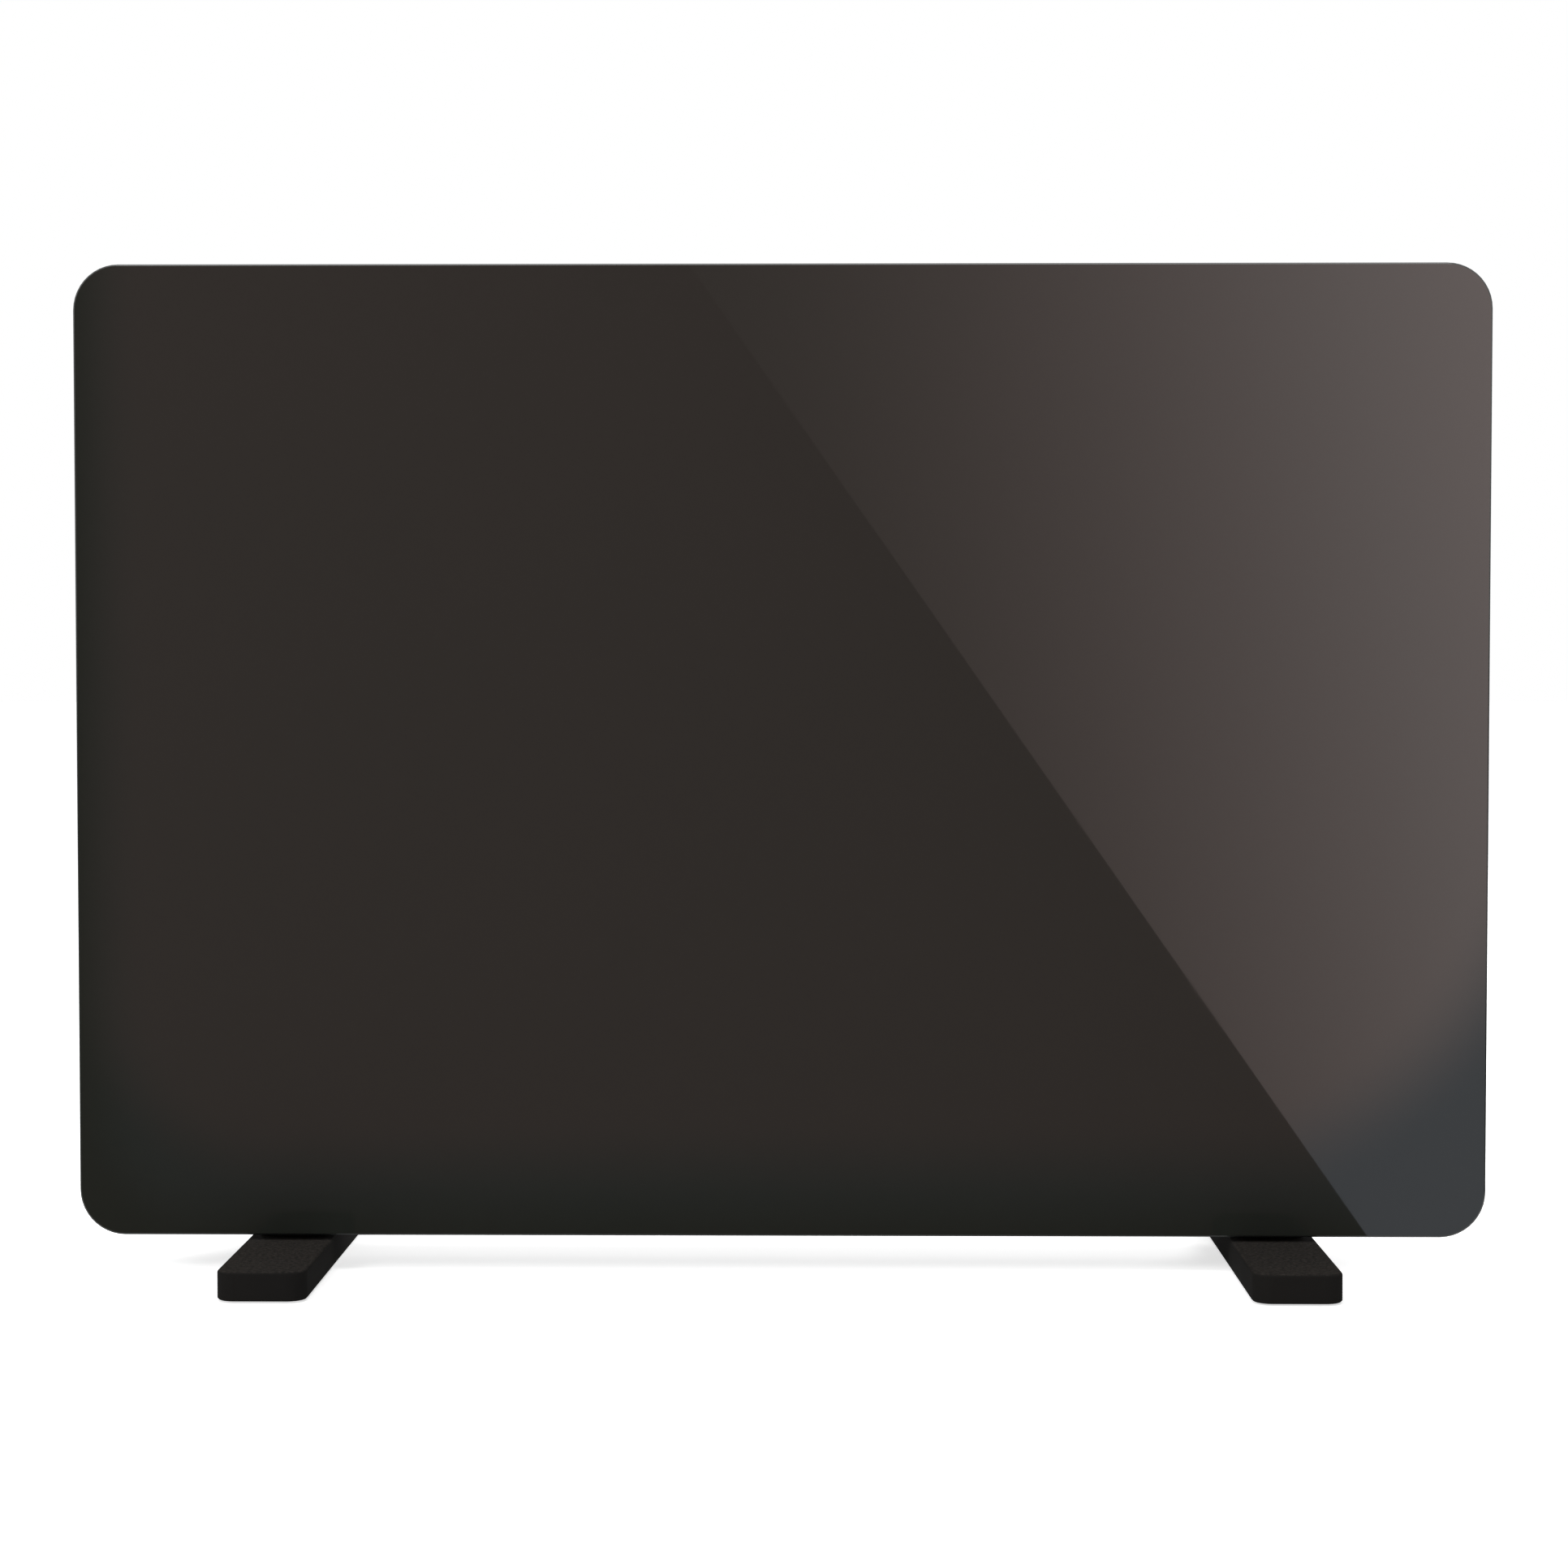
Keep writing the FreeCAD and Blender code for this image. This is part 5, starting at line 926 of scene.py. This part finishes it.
make_floor()
print("floor half width in m:", FLOOR_HALF)

# %% Surrounding light
SKY_LEVEL = 0.42
MIRRORED_DARK = 0.03
HORIZON_SOFT = 0.02


def make_sky():
    """White for the camera and, above the horizon, for mirrors. A plain grey for everything else."""
    world = bpy.data.worlds.new("studio_sky")
    world.use_nodes = True
    tree = world.node_tree
    rays = add_node(tree, "ShaderNodeLightPath").outputs
    direction = add_node(tree, "ShaderNodeTexCoord").outputs["Generated"]
    rise = add_node(tree, "ShaderNodeSeparateXYZ", {"Vector": direction}).outputs["Z"]
    in_mirrors = spread(tree, rise, -HORIZON_SOFT, HORIZON_SOFT, MIRRORED_DARK, 1.0)
    elsewhere = spread(tree, rays["Is Camera Ray"], 0.0, 1.0, SKY_LEVEL, 1.0)
    strength = mix_numbers(tree, mirror_rays(tree, rays), elsewhere, in_mirrors)
    background = tree.nodes["Background"]
    background.inputs["Color"].default_value = WHITE
    tree.links.new(strength, background.inputs["Strength"])
    scene.world = world


make_sky()
print("sky level on the heater:", SKY_LEVEL)

# %% [markdown]
# ## Soft lamps
#
# Two large soft boxes do the work: one overhead, which lights the tops of the feet and the housing, and
# one high in front to the left. A third one behind shapes the back of the heater. All stand outside what
# the glass mirrors towards the camera.

# %% Soft lamps
LAMPS = {
    "overhead_lamp": {"place": (0.0, -0.1, 2.1), "size": 1.6, "watts": 20.0},
    "front_lamp": {"place": (-1.9, -1.7, 1.7), "size": 1.2, "watts": 22.0},
    "rear_lamp": {"place": (1.5, 2.0, 1.6), "size": 1.2, "watts": 30.0},
}
LAMP_AIM = Vector((0.0, 0.0, 0.2))

for name, lamp in LAMPS.items():
    light = bpy.data.lights.new(name, "AREA")
    light.size = lamp["size"]
    light.energy = lamp["watts"]
    holder = bpy.data.objects.new(name, light)
    holder.location = lamp["place"]
    holder.rotation_euler = (LAMP_AIM - Vector(lamp["place"])).to_track_quat("-Z", "Y").to_euler()
    holder.visible_camera = False
    scene.collection.objects.link(holder)
    print(name, lamp["watts"], "W")

# %% [markdown]
# ## What the glass mirrors
#
# Black glass looks like what stands in front of it. In the picture it mirrors a dim warm wall that fades
# towards the left and lower rims, first to grey and then almost to black, and over it a brighter field
# with one straight, slanted edge. Painting that on the glass would be wrong from every other side, so two
# cards stand in front of the heater and the glass mirrors them. Their places follow from the mirror rule:
# the line of sight through a point of the glass runs on, past the glass, as if it came from the eye's
# mirror image. The cards are only seen in mirrors. They light nothing and cast no shadow, and they reach
# below the floor, which is clear to such rays. Towards their ends they fade out, so that no hard rim of a
# card shows from other sides.

# %% The mirror rule
CARD_DISTANCE = 2.6
glass_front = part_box("glass_panel")[0].y
eye_distance = glass_front - EYE.y
card_stretch = (eye_distance + CARD_DISTANCE) / eye_distance


def seen_in_glass(x, z, nearer=0.0):
    """Where the mirrored line of sight through this point of the glass meets the cards."""
    card_x = EYE.x + (x - EYE.x) * card_stretch
    card_z = EYE.z + (z - EYE.z) * card_stretch
    return Vector((card_x, glass_front - CARD_DISTANCE + nearer, card_z))


print("one metre on the glass shows %.2f m of the cards" % card_stretch)

# %% Light of the cards
FULL_GROWTH = 1.4
CARD_WINDOW = ((-0.36, -0.04), (0.36, 0.50), 0.05, 0.30)


def window_mask(tree, low_corner, high_corner, rounding, fade):
    """1 inside a rounded window, fading to 0 outside it. All sizes are as they show on the glass.

    What counts is the distance to a smaller box, moved in by the rounding on all sides.
    """
    low = seen_in_glass(low_corner[0] + rounding, low_corner[1] + rounding)
    high = seen_in_glass(high_corner[0] - rounding, high_corner[1] - rounding)
    half = (high - low) / 2
    half.y = CARD_DISTANCE
    offset = vectors(tree, "SUBTRACT", object_place(tree), (low + high) / 2)
    beyond = vectors(tree, "SUBTRACT", vectors(tree, "ABSOLUTE", offset), half)
    distance = vectors(tree, "LENGTH", vectors(tree, "MAXIMUM", beyond, (0.0, 0.0, 0.0)))
    inner = rounding * card_stretch
    outer = (rounding + fade) * card_stretch
    return spread(tree, distance, inner, outer, 1.0, 0.0, "SMOOTHSTEP")


def card_finish(name, window, rim_window, origin, level, slope, curve, shades, rim_lights):
    """Light that grows along a slope from a level at its origin.

    origin is a point on the glass, slope the growth per metre of glass along X and Z, and curve the
    power of the growth: 1 is even, and above 1 it starts slowly. The first of the two shades is the
    light's colour where the growth starts, and the second where it is full. Outside its window the light
    fades to the first of the rim lights, outside the rim's window to the second, and at the card's ends
    to nothing.
    """
    material = bpy.data.materials.new(name)
    material.use_nodes = True
    tree = material.node_tree
    tree.nodes.clear()
    offset = vectors(tree, "SUBTRACT", object_place(tree), seen_in_glass(*origin))
    per_metre = (slope[0] / card_stretch, 0.0, slope[1] / card_stretch)
    growth = maths(tree, "MAXIMUM", vectors(tree, "DOT_PRODUCT", offset, per_metre), 0.0)
    strength = maths(tree, "ADD", maths(tree, "POWER", growth, curve), level)
    colour = mix_colours(tree, spread(tree, growth, 0.0, FULL_GROWTH, 0.0, 1.0), *shades)
    inside = add_node(tree, "ShaderNodeEmission", {"Color": colour, "Strength": strength})
    near_rim, far_rim = rim_lights
    rim_colour = mix_colours(tree, window_mask(tree, *rim_window), far_rim, near_rim)
    outside = add_node(tree, "ShaderNodeEmission", {"Color": rim_colour})
    clear = add_node(tree, "ShaderNodeBsdfTransparent")
    lit = mix_shaders(tree, window_mask(tree, *window), outside, inside)
    faded = mix_shaders(tree, window_mask(tree, *CARD_WINDOW), clear, lit)
    add_node(tree, "ShaderNodeOutputMaterial", {"Surface": faded.outputs[0]})
    return material


def add_card(name, outline, nearer, material):
    """A flat card, seen only in mirrors. Its outline is given as it shows on the glass."""
    bm = bmesh.new()
    bm.faces.new([bm.verts.new(seen_in_glass(x, z, nearer)) for x, z in outline])
    card = stage_object(name, bm, material)
    card.visible_camera = False
    card.visible_diffuse = False
    card.visible_shadow = False


print("card helpers ready")

# %% Two cards
CARD_HALF, CARD_FOOT, CARD_TOP = 0.66, -0.34, 0.80
WALL_WINDOW = ((-0.279, 0.068), (0.330, 0.560), 0.056, 0.039)
WALL_RIM_WINDOW = ((-0.280, 0.043), (0.330, 0.560), 0.024, 0.034)
WALL_SHADE = (1.0, 0.601, 0.590, 1.0)
WALL_RIM_LIGHTS = ((0.130, 0.121, 0.133, 1.0), (0.040, 0.015, 0.006, 1.0))
SHEEN_WINDOW = ((-0.287, 0.068), (0.310, 0.560), 0.150, 0.047)
SHEEN_SHADES = ((1.0, 0.655, 0.630, 1.0), (1.0, 0.815, 0.800, 1.0))
SHEEN_RIM_LIGHT = (0.795, 0.830, 0.965, 1.0)
SHEEN_NEARER = 0.02
SHEEN_EDGE_TOP, SHEEN_EDGE_FOOT = -0.2911, 0.5073

wall_light = card_finish(
    "wall_light", WALL_WINDOW, WALL_RIM_WINDOW, origin=(0.0, 0.100), level=0.353, slope=(0.0, 0.68),
    curve=2.0, shades=(WALL_SHADE, WALL_SHADE), rim_lights=WALL_RIM_LIGHTS,
)
wall_outline = [
    (-CARD_HALF, CARD_FOOT), (-CARD_HALF, CARD_TOP),
    (CARD_HALF, CARD_TOP), (CARD_HALF, CARD_FOOT),
]
add_card("wall_card", wall_outline, nearer=0.0, material=wall_light)

sheen_light = card_finish(
    "sheen_light", SHEEN_WINDOW, CARD_WINDOW, origin=(-0.030, 0.416), level=0.46, slope=(5.05, 1.0),
    curve=1.5, shades=SHEEN_SHADES, rim_lights=(SHEEN_RIM_LIGHT, SHEEN_RIM_LIGHT),
)
sheen_outline = [
    (SHEEN_EDGE_TOP, CARD_TOP), (CARD_HALF, CARD_TOP),
    (CARD_HALF, CARD_FOOT), (SHEEN_EDGE_FOOT, CARD_FOOT),
]
add_card("sheen_card", sheen_outline, nearer=SHEEN_NEARER, material=sheen_light)
print("cards stand %.1f m in front of the glass" % CARD_DISTANCE)
